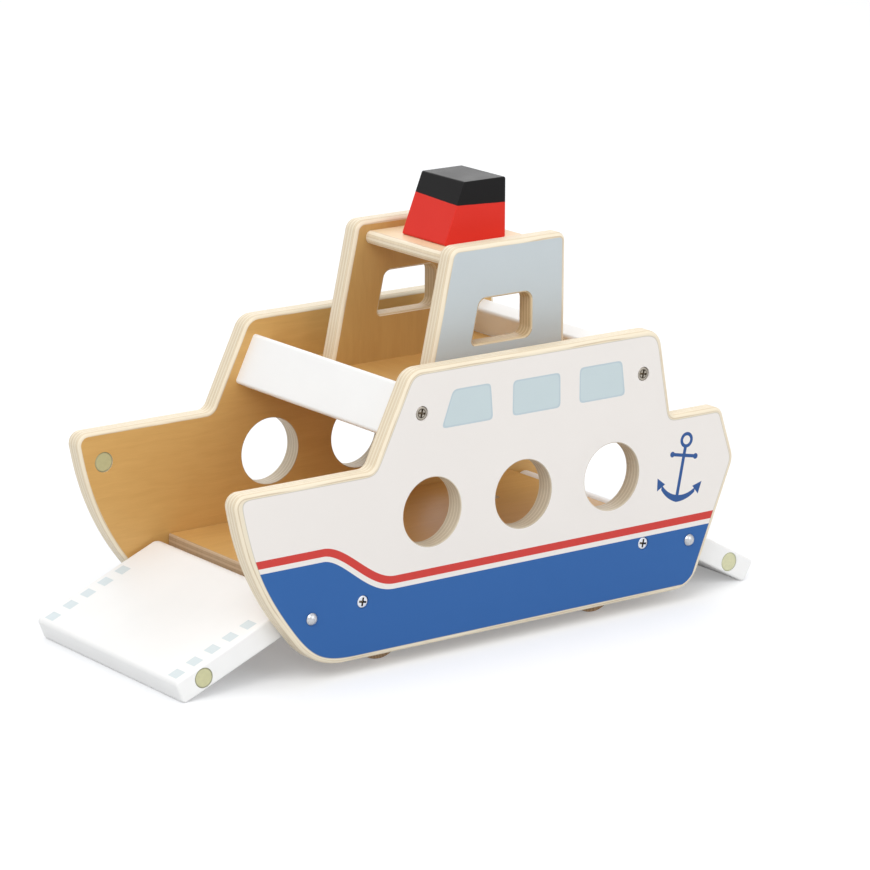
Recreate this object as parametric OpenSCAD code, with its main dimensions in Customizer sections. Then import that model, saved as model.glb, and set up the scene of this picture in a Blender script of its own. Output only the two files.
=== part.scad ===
// Wooden toy car ferry. Plywood sides, two decks, a wheelhouse, a funnel, and a bow
// ramp and a stern ramp that swing up on pins and are held shut by magnets.
// X runs from bow to stern, Y from port to starboard, Z up from the floor, in millimetres.

/* [Hull sides] */
// Thickness of the plywood sides
ply_t = 9; // [6:0.5:12]
// Clear width between the two sides
hull_inner_w = 117; // [100:1:140]
// Gap between the floor and the bottom edge of the sides
hull_lift = 6.6; // [5:0.1:12]
// Height of the low bulwark edge above the floor
bulwark_z = 90; // [86:0.5:96]
// Height of the raised middle of the sides above the bulwark edge
raised_h = 41.6; // [38:0.2:50]
// Distance from the bow pin forward to the bow's knee
bow_knee_run = 31.65; // [30:0.05:34]
// How far the bow leans forward from its knee to its top
bow_flare = 8.55; // [5:0.05:12]
// Height of the bow's knee above the floor
bow_knee_z = 49.2; // [46:0.1:52]
// Distance from the bow pin back to the front end of the flat bottom edge
keel_front_run = 1.65; // [0:0.05:5]
// Distance from the stern pin back to the rear end of the flat bottom edge
keel_rear_run = 2.3; // [0:0.1:5]
// Distance from the stern pin back to the knuckle of the stern
stern_run = 26.1; // [24:0.1:31]
// Height of the stern's knuckle above the floor
stern_knuckle_z = 64.7; // [60:0.1:68]
// How far the stern leans in from its knuckle to its upper corner
stern_tuck = 8.3; // [4:0.1:11]
// Distance from the middle of the hull to the foot of the raised middle's front edge
raised_front_foot = 72.5; // [70:0.1:75]
// How far the raised middle's front edge leans back over its height
raised_front_run = 20.2; // [16:0.1:24]
// How far the raised middle's rear edge leans forward over its height
raised_rear_run = 7.5; // [4:0.1:12]
// Distance from the middle of the hull to the foot of the raised middle's rear edge
raised_rear_foot = 93.2; // [92:0.1:96]

/* [Hull corners] */
// Radius of the sweep from the bottom edge into the bow
bow_sweep_r = 32; // [22:1:33]
// Radius of the long curve of the bow
bow_curve_r = 125; // [60:1:128]
// Radius of the corner at the top of the bow
bow_corner_r = 5.5; // [2:0.5:7]
// Radius of the raised middle's two top corners
raised_corner_r = 9; // [4:0.5:14]
// Radius of the hollow corner at the foot of the raised middle's front
front_hollow_r = 5; // [2:0.5:8]
// Radius of the hollow corner at the foot of the raised middle's rear
rear_hollow_r = 3; // [1:0.5:6]
// Radius of the stern's upper corner
stern_corner_r = 5; // [2:0.5:8]
// Radius of the stern's knuckle
stern_knuckle_r = 10; // [4:0.5:14]
// Radius of the corner between the stern and the bottom edge
stern_foot_r = 14; // [6:0.5:15]

/* [Portholes] */
// Diameter of a porthole
porthole_d = 31; // [20:0.5:36]
// Distance from one porthole to the next
porthole_pitch = 50; // [42:0.5:54]
// Distance from the middle of the hull to the middle porthole, towards the stern
porthole_mid_x = 9; // [0:0.5:14]
// Height of the portholes' middle above the car deck
porthole_rise = 30; // [26:0.5:33]

/* [Car deck] */
// Thickness of the car deck
car_deck_t = 9; // [6:0.5:10]
// Gap between the wheels and the car deck above them
wheel_top_gap = 3; // [2:0.1:6]
// Gap between the car deck's end and the round root of a ramp
ramp_root_gap = 2.5; // [1:0.1:5]
// Distance from the car deck's end to its screws
deck_screw_inset = 19; // [8:0.5:25]

/* [Upper deck] */
// Thickness of the upper deck
upper_deck_t = 6; // [5:0.5:8]
// Distance from the sides' top edge down to the upper deck
upper_deck_drop = 22.5; // [18:0.1:26]
// Gap along each side of the upper deck
upper_deck_gap = 0.5; // [0.2:0.1:0.9]

/* [Cross boards] */
// Thickness of the painted boards and ramps
board_t = 11; // [9:0.5:12]
// Height of the cross boards, measured along their slope
board_h = 24; // [20:0.5:26]
// Distance from the sloping edge of the sides to a board's outer face
board_inset = 6.1; // [4.5:0.1:9]
// Height of the middle of the cross boards above the upper deck
board_rise = 1.35; // [0:0.05:3]
// Height of the board screws above the upper deck
board_screw_rise = 2.9; // [2:0.1:4]
// Distance from the sloping front edge of the sides to the bow board's screws
bow_board_screw_inset = 13.6; // [11:0.1:15]
// Distance from the sloping rear edge of the sides to the stern board's screws
stern_board_screw_inset = 12.6; // [11:0.1:14]

/* [Wheelhouse] */
// Outer width of the wheelhouse
wheelhouse_w = 81; // [70:0.5:90]
// Height of the wheelhouse's sides
wheelhouse_h = 66.4; // [60:0.2:76]
// Distance from the middle of the hull to the foot of the wheelhouse's front edge
wheelhouse_front = 26; // [20:0.5:32]
// Distance from the middle of the hull to the wheelhouse's rear edge
wheelhouse_rear = 52.5; // [50:0.5:60]
// How far the front edge leans back over its height
wheelhouse_front_run = 14.8; // [8:0.1:18]
// Radius of the wheelhouse's front top corner
wheelhouse_front_r = 5.5; // [3:0.5:10]
// Radius of the wheelhouse's rear top corner
wheelhouse_rear_r = 4; // [2:0.5:8]
// Height of the window's sill above the upper deck
window_sill = 21.5; // [18:0.1:24]
// Height of the window
window_h = 20; // [16:0.5:22]
// Distance from the raked front edge to the window
window_front_gap = 21.5; // [18:0.5:25]
// Distance from the rear edge to the window
window_rear_gap = 19.5; // [14:0.5:22]
// Radius of the window's corners
window_r = 4; // [1:0.5:6]
// Radius of the window's lower front corner
window_sill_r = 1.5; // [1:0.5:6]
// Thickness of the roof
roof_t = 6; // [5:0.5:8]
// Distance from the wheelhouse's top edge down to the roof's top face
roof_drop = 5; // [3:0.5:8]
// Distance from the middle of the hull to the roof's front edge
roof_front = 6.3; // [0:0.1:8]
// Radius of the roof's front edge
roof_nose_r = 2.6; // [1:0.1:2.9]
// Distance from the wheelhouse's rear edge to the roof's rear edge
roof_rear_gap = 4.5; // [1:0.5:6]

/* [Funnel] */
// Length of the funnel's foot
funnel_foot_l = 34.2; // [30:0.1:38]
// Length of the funnel's top
funnel_top_l = 22.9; // [18:0.1:26]
// Width of the funnel
funnel_w = 32.5; // [28:0.5:40]
// Height of the funnel
funnel_h = 28; // [22:0.5:34]
// Distance from the roof's front edge to the funnel's foot
funnel_front_gap = 8.8; // [6:0.1:10]
// Radius of the funnel's long edges
funnel_r = 1; // [0.6:0.1:2]

/* [Ramps] */
// Distance from the middle of the hull to either ramp's pin
pin_reach = 105; // [98:0.5:115]
// Distance from the car deck's top face down to the ramp pins
pin_drop = 7.4; // [5:0.1:9]
// Length of the bow ramp from its pin to its tip
bow_ramp_l = 65.8; // [60:0.1:68]
// Length of the stern ramp from its pin to its tip
stern_ramp_l = 52.2; // [48:0.1:56]
// Gap between a ramp's edge and the side beside it
ramp_gap = 1.5; // [0.8:0.1:2.5]
// Radius of the ramp's tip corners
ramp_tip_r = 2; // [1:0.5:3]
// Diameter of a ramp pin's shank
pin_d = 3; // [2.5:0.1:4]
// Diameter of a ramp pin's domed head
pin_head_d = 5.6; // [5:0.1:8]
// Height of a ramp pin's domed head
pin_head_h = 1.6; // [1.2:0.1:2.2]
// Depth that a pin is driven into the ramp
pin_grip = 15; // [10:0.5:20]

/* [Magnets] */
// Diameter of a magnet
magnet_d = 9; // [6:0.1:9.8]
// Thickness of a magnet
magnet_t = 4; // [2:0.5:5]
// Distance from the bow pin to the bow magnets
bow_magnet_reach = 52.5; // [48:0.5:54]
// Distance from the stern pin to the stern magnets
stern_magnet_reach = 38.3; // [36:0.1:41]
// Lean of the shut bow ramp, measured up from level
bow_shut_angle = 61; // [59:0.5:64]
// Lean of the shut stern ramp, measured up from level
stern_shut_angle = 68; // [65:0.5:72]

/* [Wheels] */
// Diameter of a wheel
wheel_d = 25; // [22:0.5:27]
// Width of a wheel
wheel_w = 10; // [8:0.5:12]
// Gap between a wheel and the side beside it
wheel_side_gap = 3.9; // [2:0.1:8]
// Distance from the car deck's end to an axle
axle_inset = 37; // [30:0.5:45]
// Diameter of an axle
axle_d = 4; // [3:0.5:5]
// Gap between a wheel and the axle block
wheel_play = 1; // [0.5:0.1:2]
// How far an axle's ends lie inside the wheels' outer faces
axle_recess = 1; // [0.5:0.1:2]
// Thickness of an axle block, fore and aft
axle_block_l = 16; // [14:0.5:22]
// Height of the axle block's bottom face above the floor
axle_block_lift = 6.5; // [5:0.1:8]

/* [Fasteners] */
// Shank diameter of the long screws
screw_d = 3.5; // [3:0.1:4.5]
// Head diameter of the long screws in the car deck
screw_head_d = 6; // [5.5:0.1:8]
// Head diameter of the long screws in the cross boards
board_screw_head_d = 6.6; // [5.5:0.1:8]
// Length of the long screws
screw_l = 30; // [22:1:36]
// Shank diameter of the short screws
short_screw_d = 3; // [2.5:0.1:4]
// Head diameter of the short screws
short_screw_head_d = 5.8; // [5:0.1:7]
// Length of the short screws in the axle blocks
block_screw_l = 19; // [16:0.5:19]
// Length of the short screws in the wheelhouse and the funnel
house_screw_l = 20; // [14:0.5:24]
// Diameter of the dowels
dowel_d = 3; // [2:0.5:4]
// Length of the dowels
dowel_l = 14; // [10:0.5:18]
// Length of a dowel in the piece that it is blind in
dowel_blind = 5; // [3:0.5:6]

/* [Fits] */
// Radial clearance of a part that turns
running_fit = 0.08; // [0.03:0.01:0.1]
// Radial clearance of a part that is driven or glued in
snug_fit = 0.02; // [0.01:0.01:0.05]
// Gap under a ramp pin's head
head_gap = 0.3; // [0.2:0.05:0.6]

/* [Hidden] */
$fn = 96;

PORT = -1;
STARBOARD = 1;
BOW = -1;
STERN = 1;
paint_white = "#f1eeea";
ply_tan = "#d9a867";
ply_cream = "#ead9b5";
wood_brown = "#c08a5a";
funnel_red = "#d8402f";
steel = "#b9bcc0";
magnet_grey = "#cdcb9c";

half_in = hull_inner_w / 2;
half_out = half_in + ply_t;
overcut = 1;
half_turn = 180;
full_turn = 360;

// Heights, from the wheels up
car_deck_low = wheel_d + wheel_top_gap;
car_deck_z = car_deck_low + car_deck_t;
pin_z = car_deck_z - pin_drop;
porthole_z = car_deck_z + porthole_rise;
side_top_z = bulwark_z + raised_h;
upper_deck_z = side_top_z - upper_deck_drop;
upper_deck_low = upper_deck_z - upper_deck_t;
board_mid_z = upper_deck_z + board_rise;
board_screw_z = upper_deck_z + board_screw_rise;
wheelhouse_top_z = upper_deck_z + wheelhouse_h;

// Distances from the middle of the hull, from the ramp pins
bow_knee_reach = pin_reach + bow_knee_run;
bow_reach = bow_knee_reach + bow_flare;
keel_front = pin_reach - keel_front_run;
keel_rear = pin_reach + keel_rear_run;
stern_reach = pin_reach + stern_run;
stern_top_reach = stern_reach - stern_tuck;
raised_front_top = raised_front_foot - raised_front_run;
raised_rear_top = raised_rear_foot - raised_rear_run;
car_deck_reach = pin_reach - board_t / 2 - ramp_root_gap;
deck_screw_reach = car_deck_reach - deck_screw_inset;
axle_reach = car_deck_reach - axle_inset;

// Corners of a side seen from port, as [x, z, radius of the rounding]
side_corners = [
    [-keel_front, hull_lift, bow_sweep_r],
    [-bow_knee_reach, bow_knee_z, bow_curve_r],
    [-bow_reach, bulwark_z, bow_corner_r],
    [-raised_front_foot, bulwark_z, front_hollow_r],
    [-raised_front_top, side_top_z, raised_corner_r],
    [raised_rear_top, side_top_z, raised_corner_r],
    [raised_rear_foot, bulwark_z, rear_hollow_r],
    [stern_top_reach, bulwark_z, stern_corner_r],
    [stern_reach, stern_knuckle_z, stern_knuckle_r],
    [keel_rear, hull_lift, stern_foot_r]];

// Lean of the raised middle's front and rear edges, measured from upright
front_lean = atan2(raised_front_run, raised_h);
rear_lean = atan2(raised_rear_run, raised_h);

// Where the raised middle's sloping edges pass at a height
function front_edge_x(z) = -raised_front_foot + (z - bulwark_z) * tan(front_lean);
function rear_edge_x(z) = raised_rear_foot - (z - bulwark_z) * tan(rear_lean);

// A board's middle, level with board_mid_z, and its inner face at a height
board_depth = board_inset + board_t / 2;
bow_board_x = front_edge_x(board_mid_z) + board_depth / cos(front_lean);
stern_board_x = rear_edge_x(board_mid_z) - board_depth / cos(rear_lean);
bow_board_screw_x = front_edge_x(board_screw_z) + bow_board_screw_inset / cos(front_lean);
stern_board_screw_x = rear_edge_x(board_screw_z) - stern_board_screw_inset / cos(rear_lean);
function bow_board_back(z) = front_edge_x(z) + (board_inset + board_t) / cos(front_lean);
function stern_board_back(z) = rear_edge_x(z) - (board_inset + board_t) / cos(rear_lean);

rake_per_mm = wheelhouse_front_run / wheelhouse_h;
roof_z = wheelhouse_top_z - roof_drop;
roof_w = wheelhouse_w - 2 * ply_t;
roof_rear = wheelhouse_rear - roof_rear_gap;
funnel_front = -roof_front + funnel_front_gap;
funnel_rear = funnel_front + funnel_foot_l;
wheelhouse_mid_y = wheelhouse_w / 2 - ply_t / 2;

ramp_w = hull_inner_w - 2 * ramp_gap;
// Angle below level at which a lowered ramp's rounded tip touches the floor
function lowered_angle(l) =
    let (a = l - ramp_tip_r, b = board_t / 2 - ramp_tip_r)
    asin((pin_z - ramp_tip_r) / norm([a, b])) - atan2(b, a);
bow_low_angle = lowered_angle(bow_ramp_l);
stern_low_angle = lowered_angle(stern_ramp_l);

axle_z = wheel_d / 2;
wheel_outer_y = half_in - wheel_side_gap;
axle_block_w = 2 * (wheel_outer_y - wheel_w - wheel_play);
block_screw_y = axle_block_w / 4;

// Furthest points of the lowered ramps, which set the middle of the whole toy
function ramp_reach(l, low) =
    let (a = l - ramp_tip_r, b = board_t / 2 - ramp_tip_r)
    pin_reach + a * cos(low) + b * sin(low) + ramp_tip_r;
toy_mid_x = (ramp_reach(stern_ramp_l, stern_low_angle)
    - ramp_reach(bow_ramp_l, bow_low_angle)) / 2;

// Half the angle between the two edges that meet at a corner
function unit(v) = v / norm(v);
function half_angle(before, corner, after) =
    acos(unit(before - corner) * unit(after - corner)) / 2;

// Points of the arc that rounds a corner and starts and ends at a reach from it
arc_step = 8;
function arc_points(before, corner, after, reach) =
    let (u = unit(before - corner), v = unit(after - corner),
        half = half_angle(before, corner, after),
        r = reach * tan(half),
        centre = corner + unit(u + v) * r / sin(half),
        first = corner + u * reach - centre,
        last = corner + v * reach - centre,
        start = atan2(first[1], first[0]),
        turn = (atan2(last[1], last[0]) - start + full_turn + half_turn) % full_turn - half_turn,
        steps = ceil(abs(turn) / arc_step) + 2)
    [for (i = [0 : steps]) centre + r * [cos(start + turn * i / steps),
        sin(start + turn * i / steps)]];

// Points of an outline whose corners [x, y, radius] are rounded with arcs. Where the arcs
// at both ends of an edge would meet, they share the edge.
arc_share = 0.97;
function rounded(corners) =
    let (n = len(corners),
        p = [for (c = corners) [c[0], c[1]]],
        reach = [for (i = [0 : n - 1])
            corners[i][2] / tan(half_angle(p[(i + n - 1) % n], p[i], p[(i + 1) % n]))],
        room = [for (i = [0 : n - 1])
            arc_share * norm(p[(i + 1) % n] - p[i]) / (reach[i] + reach[(i + 1) % n])])
    [for (i = [0 : n - 1])
        each arc_points(p[(i + n - 1) % n], p[i], p[(i + 1) % n],
            reach[i] * min(1, room[i], room[(i + n - 1) % n]))];

// Moves what is drawn about the hull's middle so that the toy's middle is at the origin
module placed() {
    translate([-toy_mid_x, 0, 0]) children();
}

// Draws what is made for the port side on either side
module on_side(side) {
    mirror([0, side == STARBOARD ? 1 : 0, 0]) children();
}

// Draws what is made for the bow on either end
module at_end(end) {
    mirror([end == STERN ? 1 : 0, 0, 0]) children();
}

// An outline in X and Z, drawn out in Y from y_low to y_high
module plate(points, y_low, y_high) {
    translate([0, y_high, 0]) rotate([90, 0, 0]) linear_extrude(y_high - y_low) polygon(points);
}

// A cylinder along Y from y_low to y_high
module y_rod(x, z, d, y_low, y_high) {
    translate([x, y_low, z]) rotate([-90, 0, 0]) cylinder(d = d, h = y_high - y_low);
}

// A countersunk wood screw: head flush at the origin, point along +Z
module wood_screw(d, head_d, l, gap = 0) {
    head_h = (head_d - d) / 2;
    tip_h = d * 0.9;
    cylinder(d1 = head_d + 2 * gap, d2 = d + 2 * gap, h = head_h);
    cylinder(d = d + 2 * gap, h = l - tip_h);
    translate([0, 0, l - tip_h]) cylinder(d1 = d + 2 * gap, d2 = d * 0.2 + 2 * gap, h = tip_h + gap);
}

// The hole for a wood screw, open where the head goes in
module screw_hole(d, head_d, l) {
    wood_screw(d, head_d, l, snug_fit);
    translate([0, 0, -overcut]) cylinder(d = head_d + 2 * snug_fit, h = overcut);
}

// The cross slot in a screw's head
module cross_slot(d) {
    slot_w = d * 0.25;
    slot_depth = d * 0.4;
    for (turn = [45, 135])
        rotate([0, 0, turn]) translate([-d / 2, -slot_w / 2, -overcut])
            cube([d, slot_w, slot_depth + overcut]);
}

module slotted_screw(d, head_d, l) {
    difference() {
        wood_screw(d, head_d, l);
        cross_slot(d);
    }
}

// Aims a screw that is drawn along +Z: into the port side, down, or up
module into_side() { rotate([-90, 0, 0]) children(); }
module downwards() { rotate([180, 0, 0]) children(); }

module deck_screw_spots() {
    for (end = [BOW, STERN])
        translate([end * deck_screw_reach, -half_out, car_deck_z - car_deck_t / 2])
            into_side() children();
}

module board_screw_spots() {
    for (x = [bow_board_screw_x, stern_board_screw_x])
        translate([x, -half_out, board_screw_z]) into_side() children();
}

module block_screw_spots(end) {
    for (side = [PORT, STARBOARD])
        translate([end * axle_reach, side * block_screw_y, car_deck_z]) downwards() children();
}

// Screws that come up through the upper deck into a wheelhouse side
module house_screw_spots() {
    house_l = wheelhouse_front + wheelhouse_rear;
    for (share = [0.22, 0.82])
        translate([-wheelhouse_front + share * house_l, -wheelhouse_mid_y, upper_deck_low])
            children();
}

module funnel_screw_spot() {
    translate([funnel_rear - funnel_top_l / 2, 0, roof_z - roof_t]) children();
}

// A dowel along +X from the blind end in a board into the upper deck's end
module upper_deck_dowel_spots() {
    z = upper_deck_z - upper_deck_t / 2;
    for (side = [PORT, STARBOARD]) {
        translate([bow_board_back(z) - dowel_blind, side * half_in / 2, z])
            rotate([0, 90, 0]) children();
        translate([stern_board_back(z) + dowel_blind, side * half_in / 2, z])
            rotate([0, -90, 0]) children();
    }
}

// A dowel from the blind end in the port wheelhouse side into the roof
module roof_dowel_spots() {
    roof_l = roof_rear + roof_front;
    for (share = [0.2, 0.8])
        translate([-roof_front + share * roof_l, -roof_w / 2 - dowel_blind, roof_z - roof_t / 2])
            rotate([-90, 0, 0]) children();
}

module dowel(gap = 0) {
    translate([0, 0, -gap]) cylinder(d = dowel_d + 2 * gap, h = dowel_l + 2 * gap);
}

// Middle of a shut ramp's magnet, drawn for either end
function shut_magnet_x(end) = end == BOW
    ? -pin_reach - bow_magnet_reach * cos(bow_shut_angle)
    : pin_reach + stern_magnet_reach * cos(stern_shut_angle);
function shut_magnet_z(end) = end == BOW
    ? pin_z + bow_magnet_reach * sin(bow_shut_angle)
    : pin_z + stern_magnet_reach * sin(stern_shut_angle);

module side_panel(side) {
    color(paint_white) placed() on_side(side) difference() {
        plate(rounded(side_corners), -half_out, -half_in);
        for (i = [-1, 0, 1])
            y_rod(porthole_mid_x + i * porthole_pitch, porthole_z, porthole_d,
                -half_out - overcut, -half_in + overcut);
        for (end = [BOW, STERN]) {
            y_rod(end * pin_reach, pin_z, pin_d + 2 * running_fit,
                -half_out - overcut, -half_in + overcut);
            y_rod(shut_magnet_x(end), shut_magnet_z(end), magnet_d + 2 * snug_fit,
                -half_in - magnet_t, -half_in + overcut);
        }
        deck_screw_spots() screw_hole(screw_d, screw_head_d, screw_l);
        board_screw_spots() screw_hole(screw_d, board_screw_head_d, screw_l);
    }
}

module car_deck() {
    color(ply_tan) placed() difference() {
        translate([-car_deck_reach, -half_in, car_deck_low])
            cube([2 * car_deck_reach, hull_inner_w, car_deck_t]);
        for (side = [PORT, STARBOARD])
            on_side(side) deck_screw_spots() screw_hole(screw_d, screw_head_d, screw_l);
        for (end = [BOW, STERN])
            block_screw_spots(end)
                screw_hole(short_screw_d, short_screw_head_d, block_screw_l);
    }
}

module upper_deck() {
    deck_points = [[bow_board_back(upper_deck_low), upper_deck_low],
        [stern_board_back(upper_deck_low), upper_deck_low],
        [stern_board_back(upper_deck_z), upper_deck_z],
        [bow_board_back(upper_deck_z), upper_deck_z]];
    color(ply_tan) placed() difference() {
        plate(deck_points, -half_in + upper_deck_gap, half_in - upper_deck_gap);
        for (side = [PORT, STARBOARD])
            on_side(side) house_screw_spots()
                screw_hole(short_screw_d, short_screw_head_d, house_screw_l);
        upper_deck_dowel_spots() dowel(snug_fit);
    }
}

module cross_board(x, lean) {
    color("white") placed() difference() {
        translate([x, -half_in, board_mid_z]) rotate([0, lean, 0])
            translate([-board_t / 2, 0, -board_h / 2]) cube([board_t, hull_inner_w, board_h]);
        for (side = [PORT, STARBOARD])
            on_side(side) board_screw_spots() screw_hole(screw_d, board_screw_head_d, screw_l);
        upper_deck_dowel_spots() dowel(snug_fit);
    }
}

module bow_board() { cross_board(bow_board_x, front_lean); }
module stern_board() { cross_board(stern_board_x, -rear_lean); }

// Corners of a wheelhouse side, as [x, z, radius]
crisp_r = 0.5;
house_corners = [
    [-wheelhouse_front, upper_deck_z, crisp_r],
    [-wheelhouse_front + wheelhouse_front_run, wheelhouse_top_z, wheelhouse_front_r],
    [wheelhouse_rear, wheelhouse_top_z, wheelhouse_rear_r],
    [wheelhouse_rear, upper_deck_z, crisp_r]];
window_low_x = -wheelhouse_front + window_sill * rake_per_mm + window_front_gap;
window_corners = [
    [window_low_x, upper_deck_z + window_sill, window_sill_r],
    [window_low_x + window_h * rake_per_mm, upper_deck_z + window_sill + window_h, window_r],
    [wheelhouse_rear - window_rear_gap, upper_deck_z + window_sill + window_h, window_r],
    [wheelhouse_rear - window_rear_gap, upper_deck_z + window_sill, window_r]];

module wheelhouse_side(side) {
    outer_y = -wheelhouse_w / 2;
    color("#c9d2d6") placed() on_side(side) difference() {
        plate(rounded(house_corners), outer_y, outer_y + ply_t);
        plate(rounded(window_corners), outer_y - overcut, outer_y + ply_t + overcut);
        house_screw_spots() screw_hole(short_screw_d, short_screw_head_d, house_screw_l);
        roof_dowel_spots() dowel(snug_fit);
    }
}

module wheelhouse_roof() {
    roof_corners = [
        [-roof_front, roof_z - roof_t, roof_nose_r],
        [-roof_front, roof_z, roof_nose_r],
        [roof_rear, roof_z, crisp_r],
        [roof_rear, roof_z - roof_t, crisp_r]];
    color(ply_cream) placed() difference() {
        plate(rounded(roof_corners), -roof_w / 2, roof_w / 2);
        for (side = [PORT, STARBOARD])
            on_side(side) roof_dowel_spots() dowel(snug_fit);
        funnel_screw_spot() screw_hole(short_screw_d, short_screw_head_d, house_screw_l);
    }
}

module funnel() {
    funnel_corners = [
        [funnel_front, roof_z, funnel_r],
        [funnel_rear - funnel_top_l, roof_z + funnel_h, funnel_r],
        [funnel_rear, roof_z + funnel_h, funnel_r],
        [funnel_rear, roof_z, funnel_r]];
    color(funnel_red) placed() difference() {
        plate(rounded(funnel_corners), -funnel_w / 2, funnel_w / 2);
        funnel_screw_spot() screw_hole(short_screw_d, short_screw_head_d, house_screw_l);
    }
}

// Puts what is drawn along -X from the pin where the ramp lies when it is lowered
module lowered(end) {
    low = end == BOW ? bow_low_angle : stern_low_angle;
    placed() at_end(end) translate([-pin_reach, 0, pin_z]) rotate([0, -low, 0]) children();
}

module ramp(end) {
    l = end == BOW ? bow_ramp_l : stern_ramp_l;
    magnet_x = end == BOW ? bow_magnet_reach : stern_magnet_reach;
    half_t = board_t / 2;
    tip_points = concat(
        arc_points([0, -half_t], [-l, -half_t], [-l, half_t], ramp_tip_r),
        arc_points([-l, -half_t], [-l, half_t], [0, half_t], ramp_tip_r),
        [[0, half_t], [0, -half_t]]);
    color("white") lowered(end) difference() {
        union() {
            plate(tip_points, -ramp_w / 2, ramp_w / 2);
            y_rod(0, 0, board_t, -ramp_w / 2, ramp_w / 2);
        }
        for (side = [PORT, STARBOARD]) on_side(side) {
            y_rod(0, 0, pin_d + 2 * snug_fit, -ramp_w / 2 - overcut, -ramp_w / 2 + pin_grip);
            y_rod(-magnet_x, 0, magnet_d + 2 * snug_fit, -ramp_w / 2 - overcut,
                -ramp_w / 2 + magnet_t);
        }
    }
}

// Domed pins from outside through the sides into the ramp
module ramp_pins(end) {
    dome_r = (pin_head_d * pin_head_d / 4 + pin_head_h * pin_head_h) / (2 * pin_head_h);
    color(steel) lowered(end) for (side = [PORT, STARBOARD]) on_side(side) {
        y_rod(0, 0, pin_d, -half_out - head_gap, -ramp_w / 2 + pin_grip);
        translate([0, -half_out - head_gap, 0]) rotate([90, 0, 0]) intersection() {
            translate([0, 0, pin_head_h - dome_r]) sphere(r = dome_r);
            cylinder(d = pin_head_d + overcut, h = pin_head_h + overcut);
        }
    }
}

module ramp_magnets(end) {
    magnet_x = end == BOW ? bow_magnet_reach : stern_magnet_reach;
    color(magnet_grey) lowered(end) for (side = [PORT, STARBOARD]) on_side(side)
        y_rod(-magnet_x, 0, magnet_d, -ramp_w / 2, -ramp_w / 2 + magnet_t);
}

module side_magnets(end) {
    color(magnet_grey) placed() for (side = [PORT, STARBOARD]) on_side(side)
        y_rod(shut_magnet_x(end), shut_magnet_z(end), magnet_d, -half_in - magnet_t, -half_in);
}

module deck_screws() {
    color(steel) placed() for (side = [PORT, STARBOARD]) on_side(side)
        deck_screw_spots() slotted_screw(screw_d, screw_head_d, screw_l);
}

module board_screws() {
    color(steel) placed() for (side = [PORT, STARBOARD]) on_side(side)
        board_screw_spots() slotted_screw(screw_d, board_screw_head_d, screw_l);
}

module axle_block(end) {
    color(wood_brown) placed() difference() {
        translate([end * axle_reach - axle_block_l / 2, -axle_block_w / 2, axle_block_lift])
            cube([axle_block_l, axle_block_w, car_deck_low - axle_block_lift]);
        y_rod(end * axle_reach, axle_z, axle_d + 2 * running_fit,
            -axle_block_w / 2 - overcut, axle_block_w / 2 + overcut);
        block_screw_spots(end) screw_hole(short_screw_d, short_screw_head_d, block_screw_l);
    }
}

module axle_block_screws() {
    color(steel) placed() for (end = [BOW, STERN])
        block_screw_spots(end) slotted_screw(short_screw_d, short_screw_head_d, block_screw_l);
}

module axle(end) {
    color(steel) placed() y_rod(end * axle_reach, axle_z, axle_d,
        -wheel_outer_y + axle_recess, wheel_outer_y - axle_recess);
}

module wheel(end, side) {
    edge_r = 1.2;
    half_d = wheel_d / 2;
    profile = concat([[0, 0]],
        arc_points([0, 0], [half_d, 0], [half_d, wheel_w], edge_r),
        arc_points([half_d, 0], [half_d, wheel_w], [0, wheel_w], edge_r), [[0, wheel_w]]);
    color(wood_brown) placed() on_side(side) difference() {
        translate([end * axle_reach, -wheel_outer_y, axle_z]) rotate([-90, 0, 0])
            rotate_extrude() polygon(profile);
        y_rod(end * axle_reach, axle_z, axle_d + 2 * snug_fit,
            -wheel_outer_y - overcut, -wheel_outer_y + wheel_w + overcut);
    }
}

module wheelhouse_screws() {
    color(steel) placed() for (side = [PORT, STARBOARD]) on_side(side)
        house_screw_spots() slotted_screw(short_screw_d, short_screw_head_d, house_screw_l);
}

module upper_deck_dowels() {
    color(ply_cream) placed() upper_deck_dowel_spots() dowel();
}

module roof_dowels() {
    color(ply_cream) placed() for (side = [PORT, STARBOARD]) on_side(side)
        roof_dowel_spots() dowel();
}

module funnel_screw() {
    color(steel) placed() funnel_screw_spot()
        slotted_screw(short_screw_d, short_screw_head_d, house_screw_l);
}

side_panel(PORT);  // port_side_panel
side_panel(STARBOARD);  // starboard_side_panel
car_deck();
upper_deck();
bow_board();
stern_board();
wheelhouse_side(PORT);  // wheelhouse_port_side
wheelhouse_side(STARBOARD);  // wheelhouse_starboard_side
wheelhouse_roof();
funnel();
ramp(BOW);  // bow_ramp
ramp(STERN);  // stern_ramp
ramp_pins(BOW);  // bow_ramp_pins
ramp_pins(STERN);  // stern_ramp_pins
ramp_magnets(BOW);  // bow_ramp_magnets
ramp_magnets(STERN);  // stern_ramp_magnets
side_magnets(BOW);  // bow_side_magnets
side_magnets(STERN);  // stern_side_magnets
deck_screws();
board_screws();
axle_block(BOW);  // front_axle_block
axle_block(STERN);  // rear_axle_block
axle_block_screws();
axle(BOW);  // front_axle
axle(STERN);  // rear_axle
wheel(BOW, PORT);  // front_port_wheel
wheel(BOW, STARBOARD);  // front_starboard_wheel
wheel(STERN, PORT);  // rear_port_wheel
wheel(STERN, STARBOARD);  // rear_starboard_wheel
wheelhouse_screws();
upper_deck_dowels();
roof_dowels();
funnel_screw();
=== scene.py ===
"""Wooden toy car ferry: its plywood, paint, steel and light.

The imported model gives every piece's place. This script models the visible pieces again with
round edges, cut plies, printed sides and proper fasteners, and dresses all of them.

Sizes are in millimetres, with X from bow to stern, Y from port to starboard and Z up from the
floor. MM turns them into Blender's metres.
"""

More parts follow.
